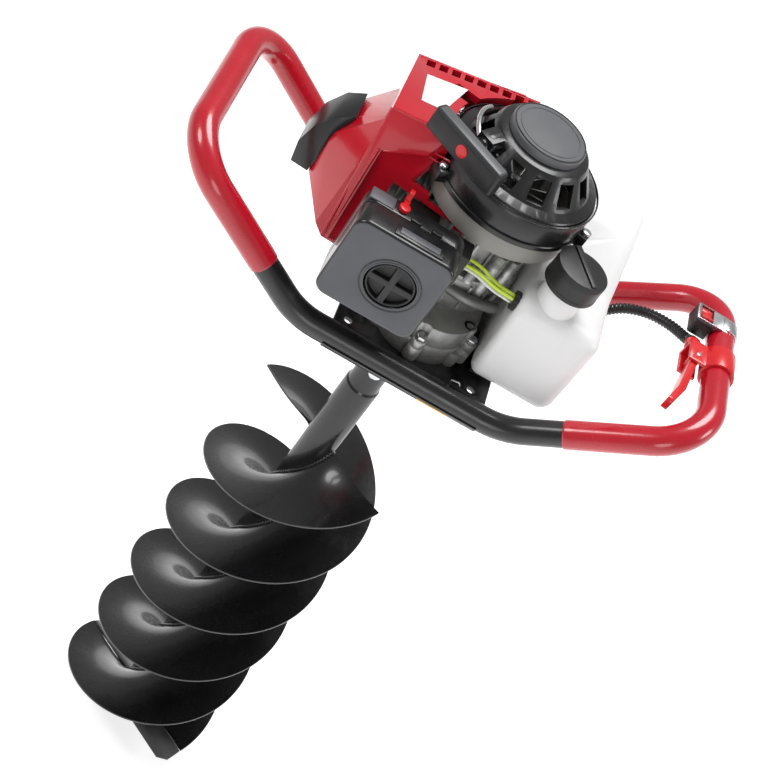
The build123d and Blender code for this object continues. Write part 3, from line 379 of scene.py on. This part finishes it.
def sweep_rings(bm, path, radius_at, sides, closed=False):
    """A tube mesh along a path; radius_at(i) gives the radius at each point."""
    tangents = []
    count = len(path)
    for i in range(count):
        if closed:
            way = path[(i + 1) % count] - path[i - 1]
        else:
            way = path[min(i + 1, count - 1)] - path[max(i - 1, 0)]
        tangents.append(way.normalized())
    side = tangents[0].orthogonal().normalized()
    rings = []
    for i, here in enumerate(path):
        side = (side - tangents[i] * side.dot(tangents[i])).normalized()
        other = tangents[i].cross(side)
        ring = []
        for k in range(sides):
            angle = 2 * pi * k / sides
            ring.append(bm.verts.new(here + (side * cos(angle) + other * sin(angle)) * radius_at(i)))
        rings.append(ring)
    return rings


def bridge(bm, ring_a, ring_b, shift=0):
    """A band of faces between two rings; the shift says which vertices meet."""
    sides = len(ring_a)
    for k in range(sides):
        following = (k + 1) % sides
        bm.faces.new((ring_a[k], ring_a[following], ring_b[(following + shift) % sides],
                      ring_b[(k + shift) % sides]))


def skin(bm, rings, closed=False):
    """Bands between each ring and the next, and from the last to the first when closed."""
    for ring_a, ring_b in zip(rings, rings[1:] + rings[:1] if closed else rings[1:]):
        bridge(bm, ring_a, ring_b)


def circle(bm, sides, place):
    """A ring of vertices, each placed by its angle."""
    return [bm.verts.new(place(2 * pi * k / sides)) for k in range(sides)]


def cube_mesh(name, place):
    """A cube with unit sides, its corners moved by the function."""
    bm = bmesh.new()
    bmesh.ops.create_cube(bm, size=1.0)
    for vert in bm.verts:
        vert.co = place(vert.co)
    mesh = bpy.data.meshes.new(name)
    bm.to_mesh(mesh)
    bm.free()
    return mesh


def tube(name, path, radius, material, body, nodes=(), sides=32):
    """A capped tube along a path. The radius is a number, or a function of the point's index."""
    bm = bmesh.new()
    rings = sweep_rings(bm, path, radius if callable(radius) else lambda i: radius, sides)
    skin(bm, rings)
    bm.faces.new(rings[0][::-1])
    bm.faces.new(rings[-1])
    return new_object(name, finish_mesh(name, bm), material, body, *nodes)


def closed_tube(name, path, radius, material, body, nodes=(), sides=40):
    """A loop of tube whose last ring meets its first."""
    bm = bmesh.new()
    rings = sweep_rings(bm, path, lambda i: radius, sides, closed=True)
    skin(bm, rings)
    last, first = rings[-1], rings[0]
    shift = min(range(sides), key=lambda s: (last[0].co - first[s].co).length)
    bridge(bm, last, first, shift)
    return new_object(name, finish_mesh(name, bm), material, body, *nodes)


def lathe(name, profile, material, body, centre=(0, 0), nodes=(), sides=96, smooth=30.0):
    """A closed (radius, height) outline in metres turned about an upright axis."""
    bm = bmesh.new()
    rings = [circle(bm, sides, lambda angle: (centre[0] + r * cos(angle), centre[1] + r * sin(angle), z))
             for r, z in profile]
    skin(bm, rings, closed=True)
    return new_object(name, finish_mesh(name, bm, smooth), material, body, *nodes)


def box_mesh(name, low, high, material, body, width):
    """A rounded block between two corners, in millimetres from the deck plane's centre."""
    size = Vector([(b - a) * MM for a, b in zip(low, high)])
    middle = at_deck(*[(a + b) / 2 for a, b in zip(low, high)])
    mesh = cube_mesh(name, lambda corner: Vector([c * s for c, s in zip(corner, size)]) + middle)
    return bevelled(name, mesh, width, material, body, segments=3)


# ---------------------------------------------------------------- frame, grips, plate

LIP_PLACES = (0.0, 0.0006, 0.0016)           # from a sleeve's end, where its lip has the rise below
LIP_RISE = (0.3, 0.75, 0.95)
WELD_SPANS, WELD_Y, WELD_STEPS = ((-70, -20), (22, 78)), 95.2, 24
WELD_R, WELD_RIPPLE = 0.0021, 0.0005
SHELL_STEPS = 12


def loop_corners(start_x):
    """The right half of the frame's loop, front to back."""
    rise = max(0.0, END_RISE * (start_x - FLAT_X) / (END_X - FLAT_X))
    front = [Vector((start_x, -TUBE_Y, DECK + rise))]
    if start_x < FLAT_X:
        front.append(Vector((FLAT_X, -TUBE_Y, DECK)))
    front.append(Vector((END_X, -TUBE_Y, DECK + END_RISE)))
    return front + [Vector((p.x, -p.y, p.z)) for p in reversed(front)]


def densify(path, longest):
    """The same path with no step longer than about the given length."""
    out = [path[0]]
    for a, b in zip(path, path[1:]):
        pieces = max(1, int((b - a).length / longest))
        out.extend(a.lerp(b, k / pieces) for k in range(1, pieces + 1))
    return out


def sleeve_path(side):
    """A grip's centreline, with extra points at both ends for its lip."""
    ends = [Vector((side * p.x, p.y, p.z)) for p in loop_corners(GRIP_START_X)]
    path = densify(rounded_path(ends, [0, CORNER_R, CORNER_R, 0]), 0.008)
    start, finish = path[0], path[-1]
    head = [start + (path[1] - start).normalized() * d for d in LIP_PLACES]
    tail = [finish + (path[-2] - finish).normalized() * d for d in reversed(LIP_PLACES)]
    return head + path[1:-1] + tail


def make_grips():
    """Red dip over the ends of the loop, rising from the tube over its first few millimetres."""
    for side, node in ((1, "right_grip"), (-1, "left_grip")):
        path = sleeve_path(side)

        def radius(i):
            near = min(i, len(path) - 1 - i)
            return TUBE_R + (GRIP_R - TUBE_R) * (LIP_RISE[near] if near < len(LIP_RISE) else 1.0)

        tube(node + "_sleeve", path, radius, "grip_red", "root", (node,), sides=48)


def make_plate_welds():
    for y in (-1, 1):
        for x0, x1 in WELD_SPANS:
            xs = [x0 + k * (x1 - x0) / WELD_STEPS for k in range(WELD_STEPS + 1)]
            path = [at_deck(x, y * WELD_Y, 3.0) for x in xs]
            tube(f"weld_{x0 + 80}_{y + 1}", path, lambda i: WELD_R + WELD_RIPPLE * (i % 2), "tube_black",
                 "root", sides=10)


def make_tube_shell(name, material, span, arc, radii):
    """A thin strip bent round the front tube: its reach in X, its arc in degrees and its two radii."""
    tube_y = -TUBE_Y / MM
    (a0, a1), (r0, r1) = arc, radii
    around_tube = [radians(a0 + (a1 - a0) * k / SHELL_STEPS) for k in range(SHELL_STEPS + 1)]
    bm = bmesh.new()
    rows = []
    for x in span:
        row = [bm.verts.new(at_deck(x, tube_y - r1 * cos(a), r1 * sin(a))) for a in around_tube]
        row += [bm.verts.new(at_deck(x, tube_y - r0 * cos(a), r0 * sin(a))) for a in reversed(around_tube)]
        rows.append(row)
    skin(bm, rows)
    last = 2 * SHELL_STEPS + 1
    for row in rows:
        for k in range(SHELL_STEPS):
            bm.faces.new((row[k], row[k + 1], row[last - 1 - k], row[last - k]))
    new_object(name, finish_mesh(name, bm), material, "root")


def make_frame():
    right = loop_corners(0.0)[1:-1]
    left = [Vector((-p.x, p.y, p.z)) for p in reversed(right)]
    radii = [LOW_BEND_R, CORNER_R, CORNER_R, LOW_BEND_R] * 2
    path = rounded_path(right + left, radii, closed=True)
    closed_tube("frame_tube", densify(path, 0.02), TUBE_R, "tube_black", "root", ("handle_frame",))
    make_grips()
    refine("base_plate", "tube_black", 0.0008)
    refine("bolts", "zinc", 0.0005)
    make_plate_welds()
    make_tube_shell("plate_lip", "tube_black", (-75, 85), (-100, -14), (12.55, 14.0))
    make_tube_shell("edge_label", "orange", (24, 56), (-46, -26), (14.0, 14.25))


# ---------------------------------------------------------------- bit

FLIGHT_R, BIT_TUBE_R, FLIGHT_LEAD, FLIGHT_TURNS = 0.1, 0.019, 0.214, 2.5
FLIGHT_BOTTOM = DECK - 0.76
FLIGHT_START = radians(-34.0)
FLIGHT_T = 0.003
FLIGHT_DISH = 0.004
HUB_R, BIT_BORE_R = 0.017, 0.0102


def flight_point(radius_share, turn_share, side):
    """On the flight: from the tube to the rim, from the lower end to the upper one."""
    radius = BIT_TUBE_R + (FLIGHT_R - BIT_TUBE_R) * radius_share
    angle = 2 * pi * FLIGHT_TURNS * turn_share
    dish = -FLIGHT_DISH * sin(pi * radius_share)
    z = FLIGHT_BOTTOM + FLIGHT_LEAD * FLIGHT_TURNS * turn_share + dish + side * FLIGHT_T / 2
    return radius, angle, z


def make_flight(name, start, node):
    """A dished helical plate with a rounded rim."""
    bm = bmesh.new()
    radial, along = 14, 320
    outward = [(k / radial, 1) for k in range(radial + 1)]
    inward = [(share, -side) for share, side in reversed(outward)]
    outline = outward + [(1.006, 0.45), (1.006, -0.45)] + inward
    rows = []
    for i in range(along + 1):
        row = []
        for share, side in outline:
            radius, angle, z = flight_point(share, i / along, side)
            row.append(bm.verts.new((radius * cos(start + angle), radius * sin(start + angle), z)))
        rows.append(row)
    skin(bm, rows)
    last = len(outline) - 1
    for row in (rows[0], rows[-1][::-1]):
        for k in range(len(outline) // 2 - 1):
            bm.faces.new((row[k], row[k + 1], row[last - 1 - k], row[last - k]))
    return new_object(name, finish_mesh(name, bm, 40.0), "bit_black", "bit", node)


def make_bit_tube():
    """The hub that takes the output shaft, a small step, and the tube down to the flights' lower end."""
    top, step, low = DECK - 0.058, DECK - 0.128, FLIGHT_BOTTOM + 0.002
    rim = 0.0012
    profile = [(BIT_BORE_R, top - 0.03), (BIT_BORE_R, top - 0.001), (BIT_BORE_R + 0.001, top),
               (HUB_R - rim, top), (HUB_R, top - rim), (HUB_R, step + rim), (HUB_R + 0.0006, step),
               (BIT_TUBE_R - 0.0006, step - 0.0008), (BIT_TUBE_R, step - 0.0022), (BIT_TUBE_R, low),
               (BIT_BORE_R, low)]
    lathe("bit_tube", profile, "bit_black", "bit", nodes=("auger_tube",), sides=72)


def make_weld_bead(index, start):
    """The bead along a flight's upper side, where it meets the tube."""
    steps, radius = 480, BIT_TUBE_R + 0.0006
    path = []
    for i in range(steps + 1):
        angle = start + 2 * pi * FLIGHT_TURNS * i / steps
        z = FLIGHT_BOTTOM + FLIGHT_LEAD * FLIGHT_TURNS * i / steps + 0.0022
        path.append(Vector((radius * cos(angle), radius * sin(angle), z)))
    tube(f"weld_bead_{index}", path, lambda i: 0.0020 + 0.0006 * (i % 3 == 0), "bit_black", "bit", sides=8)


def make_bit():
    make_bit_tube()
    refine("coupling_pin", "zinc", 0.0006)
    make_flight("flight_one", FLIGHT_START, "flight_a")
    make_flight("flight_two", FLIGHT_START + pi, "flight_b")
    for index, start in enumerate((FLIGHT_START, FLIGHT_START + pi)):
        make_weld_bead(index, start)
    refine("cutting_blades", "blade_steel", 0.0005)
    refine("pilot_point", "steel", 0.0004)
    refine("output_shaft", "steel", 0.0006)
    refine("output_gear", "steel", 0.0)


# ---------------------------------------------------------------- engine castings

NEAR_AXIS = 0.0002                           # a lathe outline's closest approach to its axis
SOCKET_DEPTH = 0.004
RIB_T = 2.6
RIB_BANDS = ((41, 45.5, 84, 137), (49, 52.5, 49, 79))     # inner and outer radius, foot and top
FLANGE_R = 49.5
CASE_POSTS = ((24, -47, 98, 126, 6.0), (38, -36, 92, 120, 5.0), (10, -50, 84, 104, 4.4))


def make_castings():
    for node, material, width in (
            ("gearbox_case", "cast", 0.0009), ("gearbox_cover", "cast", 0.0010),
            ("clutch_housing", "cast", 0.0009), ("crankcase", "cast", 0.0010), ("cylinder", "cast", 0.0005),
            ("fan_housing", "pan_grey", 0.0008),
            ("muffler", "muffler", 0.0006), ("muffler_guard", "black_plastic", 0.0004),
            ("carburettor", "cast", 0.0007), ("throttle_arm", "zinc", 0.0003), ("primer_bulb", "primer", 0.0),
            ("shaft_bearings", "steel", 0.0004), ("layshaft", "steel", 0.0), ("clutch_drum", "steel", 0.0004),
            ("clutch_shoes", "steel", 0.0004), ("crankshaft", "steel", 0.0005), ("piston", "cast", 0.0004),
            ("spark_plug", "zinc", 0.0003), ("plug_boot", "rubber", 0.0006), ("plug_lead", "rubber", 0.0),
            ("flywheel", "cast_dark", 0.0004), ("ignition_coil", "black_plastic", 0.0006),
            ("tank_bracket", "tube_black", 0.0004), ("recoil_spring", "steel", 0.0),
            ("cap_gasket", "rubber", 0.0),
            ("filter_element", "foam", 0.0015)):
        refine(node, material, width)


def post(name, x, y, low, high, r, material="cast", hole=0.0):
    """An upright boss with a chamfered rim, and a socket in its top when hole is given."""
    low_z, high_z, r, rim = DECK + low * MM, DECK + high * MM, r * MM, 0.0008
    profile = [(NEAR_AXIS, low_z), (r, low_z), (r, high_z - rim), (r - rim, high_z)]
    if hole:
        socket_z = high_z - SOCKET_DEPTH
        profile += [(hole * MM, high_z), (hole * MM, socket_z), (NEAR_AXIS, socket_z)]
    else:
        profile += [(NEAR_AXIS, high_z)]
    lathe(name, profile, material, "root", (x * MM, y * MM), sides=32)


def rib_mesh(turn, inner, outer, low, high):
    """An upright rib standing out from the engine's axis."""
    def place(corner):
        spot = turn @ Vector((corner.x * (outer - inner) + (inner + outer) / 2, corner.y * RIB_T, 0))
        return at_deck(spot.x, spot.y, (low + high) / 2 + corner.z * (high - low))
    return cube_mesh("rib", place)


def make_casting_details():
    """Ribs, bosses and flange bolts on the crankcase and gearbox, on the side that shows past the tank."""
    for index, angle in enumerate(range(-150, 31, 20)):
        turn = Matrix.Rotation(radians(angle), 3, "Z")
        for part, band in enumerate(RIB_BANDS):
            bevelled(f"case_rib_{part}_{index}", rib_mesh(turn, *band), 0.0007, "cast", "root")
    for index, angle in enumerate((-100, -60, -20, 20)):
        x, y = FLANGE_R * cos(radians(angle)), FLANGE_R * sin(radians(angle))
        post(f"flange_boss_{index}", x, y, 70, 92, 5.2)
        post(f"flange_screw_{index}", x, y, 91.8, 96.5, 3.6, "zinc", hole=2.0)
    for index, (x, y, low, high, r) in enumerate(CASE_POSTS):
        post(f"case_post_{index}", x, y, low, high, r, hole=r - 2.2)
    pipe = [at_deck(-10, -50, 68), at_deck(20, -54, 68), at_deck(48, -44, 68)]
    tube("case_pipe", densify(rounded_path(pipe, [0, 0.04, 0]), 0.004), 0.0055, "cast_dark", "root", sides=24)
    post("case_foot", 37, -56, 26, 46, 7.0, hole=4.0)
    post("case_foot_left", 8, -62, 26, 40, 5.0, hole=3.0)
    box_mesh("intake_block", (-80, -62, 84), (-42, -44, 128), "black_plastic", "root", 0.0015)
    box_mesh("intake_shroud", (-30, -86, 96), (-6, -62, 132), "black_plastic", "root", 0.002)
    hook = [at_deck(44, -98, 7), at_deck(44, -98, 15), at_deck(51, -99, 17), at_deck(53, -99, 14)]
    tube("wire_hook", rounded_path(hook, [0, 0.002, 0.001, 0]), 0.0009, "zinc", "root", sides=12)


# ---------------------------------------------------------------- starter

PULL_ANGLE, ROPE_OFFSET, ROPE_Z = radians(238.0), 20.0, 208.0
HANDLE_REACH, HANDLE_HALF = 81.0, 41.0
ROPE_START, ROPE_SHOWN = 24, 51
LIP_INNER_R, LIP_CHAMFER = 0.0725, 0.0008
CAP_TOP = 228.7
HOOK_R, HOOK_STEPS = 58.5, 14
HOOK_ARC, HOOK_Z, HOOK_RISE = (150, 220), 201.5, 5.0
PULL_DIR = Vector((cos(PULL_ANGLE), sin(PULL_ANGLE), 0))
PULL_SIDE = Vector((PULL_DIR.y, -PULL_DIR.x, 0))


def on_rope(reach):
    """A point by its distance along the rope's line, millimetres."""
    spot = PULL_SIDE * ROPE_OFFSET + PULL_DIR * reach
    return at_deck(spot.x, spot.y, ROPE_Z)


def turned(name, places, radii, material, body, sides):
    """A round piece along a line, its radius in millimetres given at each place."""
    tube(name, places, lambda i: radii[i] * MM, material, body, sides=sides)


def make_starter_rings():
    """The rounded lips round the housing, and the raised rings on its cap."""
    for index, (low, high, r) in enumerate(((158.4, 164.0, 74.6), (186.5, 189.0, 73.8))):
        low_z, high_z, edge, rim = DECK + low * MM, DECK + high * MM, r * MM, 0.0006
        lathe(f"starter_lip_{index}",
              [(LIP_INNER_R, low_z), (edge - rim, low_z), (edge, low_z + LIP_CHAMFER),
               (edge, high_z - LIP_CHAMFER), (edge - rim, high_z), (LIP_INNER_R, high_z)],
              "black_gloss", "root", sides=128)
    half, low_z = 0.0004, DECK + CAP_TOP * MM
    for index, (outer, material) in enumerate(((35.2, "black_plastic"), (30.0, "cap_grey"))):
        inner_r, outer_r = (outer - 0.9) * MM, outer * MM
        lathe(f"cap_ring_{index}", [(outer_r, low_z - half), (outer_r, low_z + half), (inner_r, low_z + half),
                                    (inner_r, low_z - half)], material, "root", sides=96)


def make_handle_details():
    """The T-handle's thin grey top strip, a painted highlight where the overhead light falls, its face and
    its badge, and the stem below it.
    """
    spin = Matrix.Rotation(PULL_ANGLE, 3, "Z")
    middle = on_rope(HANDLE_REACH)
    for name, material, size, shift in (
            # the grey strip on the handle's top is painted highlight: lighter colour standing for the
            # overhead light on the black handle
            ("handle_top_highlight", "cap_grey", (10.6, 2 * HANDLE_HALF - 4, 0.8), (0, 0, 11.5)),
            ("handle_face", "black_plastic", (0.8, 2 * HANDLE_HALF - 6, 17.0), (6.4, 0, -0.6))):
        mesh = cube_mesh(name, lambda corner: middle + spin @ Vector(
            [(c * s + d) * MM for c, s, d in zip(corner, size, shift)]))
        bevelled(name, mesh, 0.0003, material, "pull_handle")
    badge = middle + PULL_DIR * 6.7 * MM + Vector((0, 0, -0.0005))
    turned("handle_badge", [badge + PULL_DIR * d for d in (0, 0.0006, 0.0009)], (5.8, 5.8, 5.0), "red_part",
           "pull_handle", 40)
    turned("handle_stem", [on_rope(r) for r in (75, 73, 70, 62, 60, 59.2)], (8.5, 7.8, 7.0, 6.2, 5.8, 4.6),
           "black_gloss", "pull_handle", 32)


def make_rope():
    """The short length of rope between guide and handle."""
    turned("rope_guide", [on_rope(r) for r in (42, 50, 55, 57.2, 58.2)], (10.5, 10.2, 9.8, 9.0, 7.8),
           "black_gloss", "root", 40)
    turned("guide_eye", [on_rope(r) for r in (57.9, 58.4, 58.8)], (6.6, 6.4, 5.2), "zinc", "root", 32)
    steps = 60
    line = [on_rope(ROPE_START + ROPE_SHOWN * k / steps) for k in range(steps + 1)]
    rope = tube("pull_rope", line, lambda i: 0.00165 + 0.0002 * (i % 2), "rope", None, ("starter_rope",),
                sides=14)
    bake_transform(rope)


def make_starter():
    refine("starter_housing", "black_gloss", 0.0009)
    refine("starter_cap", "cap_grey", 0.0)
    refine("starter_pulley", "black_plastic", 0.0005)
    refine("starter_handle", "black_plastic", 0.0010)
    make_starter_rings()
    make_handle_details()
    make_rope()
    hook = []
    first, last = HOOK_ARC
    for k in range(HOOK_STEPS + 1):
        angle = radians(first + (last - first) * k / HOOK_STEPS)
        z = HOOK_Z + HOOK_RISE * sin(pi * k / HOOK_STEPS)
        hook.append(at_deck(HOOK_R * cos(angle), HOOK_R * sin(angle), z))
    tube("rope_hook", hook, 0.0024, "zinc", "root", sides=16)


# ---------------------------------------------------------------- intake, cover, tank and controls

KNOB_CENTRE = (-58, 103)


def make_knob_ring(index, outer, material):
    """A thin ring on the filter cover's face, round its knob."""
    x, z = KNOB_CENTRE
    bm = bmesh.new()
    rows = [circle(bm, 80, lambda angle: at_deck(x + r * cos(angle), y, z + r * sin(angle)))
            for r, y in ((outer, -135.6), (outer, -136.5), (outer - 1.1, -136.5), (outer - 1.1, -135.6))]
    skin(bm, rows, closed=True)
    new_object(f"knob_ring_{index}", finish_mesh(f"knob_ring_{index}", bm), material, "filter_door")


def make_intake():
    refine("filter_base", "black_gloss", 0.0012)
    cover = refine("filter_cover", "grey_plastic", 0.0010, 3)
    paint(cover, "black_gloss", lambda face: face.normal.y > -0.86)
    refine("filter_knob", "black_plastic", 0.0009)
    refine("choke_lever", "red_part", 0.0007)
    box_mesh("filter_top_plate", (-80, -131, 149.6), (-34, -117, 151.2), "black_gloss", "filter_door",
             0.0006)
    box_mesh("filter_top_inset", (-76, -128, 151.0), (-38, -120, 151.8), "grey_plastic", "filter_door",
             0.0004)
    box_mesh("filter_panel", (-111, -104.5, 149.4), (-88, -89.5, 151.0), "grey_plastic", "root", 0.0006)
    for index, x in enumerate((-66, -46)):
        low, high = (x - 5, -105.5, 149.6), (x + 5, -101, 152.2)
        box_mesh(f"filter_latch_{index}", low, high, "black_gloss", "root", 0.0006)
    make_knob_ring(0, 27.6, "black_gloss")
    make_knob_ring(1, 24.6, "grey_plastic")


# three points along each ridge, then its radius
COVER_RIDGES = (((-127.5, -26, 185.6), (-88, -33, 193.2), (-62, -37, 197.8), 1.1),
                ((-121, -31, 171.6), (-84, -35.5, 173.8), (-62, -38.1, 175.5), 1.0),
                ((-115.5, -38.4, 150.6), (-81.7, -37.6, 169.6), (-60, -40.9, 168.7), 1.0),
                ((-127.2, -24, 183), (-124.6, -42, 122), (-122.6, -63.4, 58), 2.2),
                ((-119.5, -38.6, 150), (-119.8, -46, 122), (-119.5, -62.5, 60), 1.3),
                ((-123.5, 5, 166), (-136, 1, 153.2), (-147, -2.4, 140.4), 1.1),
                ((-147.4, -3, 139), (-154, -8, 128), (-160, -12, 115), 1.0),
                ((-122, 82, 177.1), (-66, 82.6, 187), (-22, 83.4, 196.4), 1.3))
PLUG_RIB_PITCH = 4.2
TOP_CORNER, TOP_SLOPE = (-128, -26, 187), (0.19, -0.094)
LABEL_CORNERS = ((-111, 51), (-73, 52), (-87, -1), (-108, 2))
LABEL_PROUD, LABEL_SUNK = 0.35, 0.2


def top_height(x, y):
    """The cover's sloping top, where the label lies."""
    corner_x, corner_y, corner_z = TOP_CORNER
    return corner_z + TOP_SLOPE[0] * (x - corner_x) + TOP_SLOPE[1] * (y - corner_y)


def make_label():
    bm = bmesh.new()
    top = [bm.verts.new(at_deck(x, y, top_height(x, y) + LABEL_PROUD)) for x, y in LABEL_CORNERS]
    low = [bm.verts.new(at_deck(x, y, top_height(x, y) - LABEL_SUNK)) for x, y in LABEL_CORNERS]
    bm.faces.new(top)
    bm.faces.new(low[::-1])
    bridge(bm, low, top)
    new_object("blank_label", finish_mesh("blank_label", bm), "label", "root")


def make_cover():
    refine("engine_cover", "cover_red", 0.0011, 3)
    refine("plug_cover", "black_gloss", 0.0014, 3)
    for index, (*places, radius) in enumerate(COVER_RIDGES):
        line = densify([at_deck(*place) for place in places], 0.004)
        tube(f"cover_ridge_{index}", line, radius * MM, "cover_red", "root", sides=14)
    for index in range(5):
        drop = PLUG_RIB_PITCH * index
        ends = [at_deck(-176.2, -9, 92.0 - drop), at_deck(-177.2, 15, 90.5 - drop)]
        tube(f"plug_rib_{index}", ends, 0.0014, "black_gloss", "root", sides=12)
    make_label()


CAP_R, CAP_CENTRE = 25.5, (84 * MM, -57 * MM)
GROMMET_CENTRE, GROMMET_RIBS, GROMMET_WAVE = (-66, 104), 10, 0.7

# where each hose meets the tank and the carburettor, in Y and Z, and its material
HOSES = ((-69, 106, -78, 118, "hose_green"), (-63, 106, -70, 120, "hose_green"),
         (-66, 100, -74, 112, "hose_clear"))


def make_cap_grip():
    """The cap's skirt, with a bead round its foot."""
    foot, bead, top = 141.4, (142.0, 145.0), 159.5
    outline = ((CAP_R, foot), (CAP_R + 0.5, bead[0]), (CAP_R + 0.5, bead[1]), (CAP_R + 0.1, bead[1] + 0.6),
               (CAP_R + 0.1, top), (CAP_R - 0.7, top), (CAP_R - 0.7, bead[0]))
    lathe("cap_grip", [(r * MM, DECK + z * MM) for r, z in outline], "black_plastic", "cap", CAP_CENTRE,
          sides=144, smooth=20.0)


def make_fuel_hoses():
    for index, (y, z, start_y, start_z, material) in enumerate(HOSES):
        route = [at_deck(-43, start_y, start_z), at_deck(-20, start_y, start_z + 1),
                 at_deck(8, (start_y + y) / 2 - 1, start_z - 1), at_deck(30, y, z + 1), at_deck(52, y, z)]
        tube(f"fuel_hose_{index}", rounded_path(route, [0, 0.05, 0.05, 0.04, 0]), 0.0016, material, "root",
             ("fuel_lines",) if index == 0 else (), sides=16)


def grommet_point(x, r, angle):
    """On the bush's ribbed outline, whose radius waves as it goes round."""
    y, z = GROMMET_CENTRE
    wave = r + GROMMET_WAVE * cos(GROMMET_RIBS * angle)
    return at_deck(x, y + wave * cos(angle), z + wave * sin(angle))


def make_grommet():
    """The ribbed rubber bush that holds the hoses in the tank's wall."""
    bm = bmesh.new()
    outline = ((54.2, 8.0), (53.6, 9.0), (50.2, 9.0), (49.2, 8.2), (49.0, 5.0), (50.4, 4.4))
    rows = [circle(bm, 80, lambda angle: grommet_point(x, r, angle)) for x, r in outline]
    skin(bm, rows)
    bm.faces.new(rows[-1])
    bm.faces.new(rows[0][::-1])
    new_object("tank_grommet", finish_mesh("tank_grommet", bm), "rubber", "root")


def make_tank():
    refine("fuel_tank", "tank", 0.0060, 5)
    refine("fuel_cap", "black_plastic", 0.0012)
    make_cap_grip()
    make_fuel_hoses()
    make_grommet()


CONDUIT_ROUTE = ((233.5, 26.2, 98.5), (232.5, 35, 91), (216, 52, 84), (195, 62, 76), (174, 66, 64),
                 (158, 66, 46), (152, 65, 27), (134, 64, 9.0), (92, 63, 9.1), (40, 65, 9.3), (-16, 64, 9.2),
                 (-58, 52, 12), (-85, 20, 24), (-90, -20, 36), (-80, -50, 51), (-73, -68, 68), (-72, -69, 86))
CONDUIT_STEP = 0.00095


def largest_arcs(points):
    """The radius that fits each corner when an arc takes 45 % of the shorter run."""
    radii = [0.0]
    for before, here, after in zip(points, points[1:], points[2:]):
        turn = (here - before).angle(after - here)
        radii.append(0.45 * min((here - before).length, (after - here).length) / tan(turn / 2))
    return radii + [0.0]


def resampled(path, step):
    """Points at even steps along a path."""
    out, carried = [path[0]], 0.0
    for a, b in zip(path, path[1:]):
        length = (b - a).length
        place = step - carried
        while place <= length:
            out.append(a.lerp(b, place / length))
            place += step
        carried = length - (place - step)
    return out


def make_conduit():
    """The corrugated sleeve: two wide rings, then two narrow ones, all along its route."""
    route = [at_deck(*p) for p in CONDUIT_ROUTE]
    path = resampled(rounded_path(route, largest_arcs(route), step=radians(3)), CONDUIT_STEP)
    tube("conduit_sleeve", path, lambda i: (0.0055, 0.0055, 0.0047, 0.0047)[i % 4], "black_gloss", "root",
         ("cable_conduit",), sides=20)


def make_controls():
    refine("throttle_bracket", "red_part", 0.0008)
    refine("throttle_lever", "red_part", 0.0012)
    refine("lever_pin", "zinc", 0.0004)
    refine("switch_bracket", "zinc", 0.0004)
    refine("kill_switch", "black_plastic", 0.0008)
    refine("switch_rocker", "red_part", 0.0006)
    make_conduit()


make_camera()
make_stage()
make_frame()
make_bit()
make_castings()
make_casting_details()
make_starter()
make_intake()
make_cover()
make_tank()
make_controls()
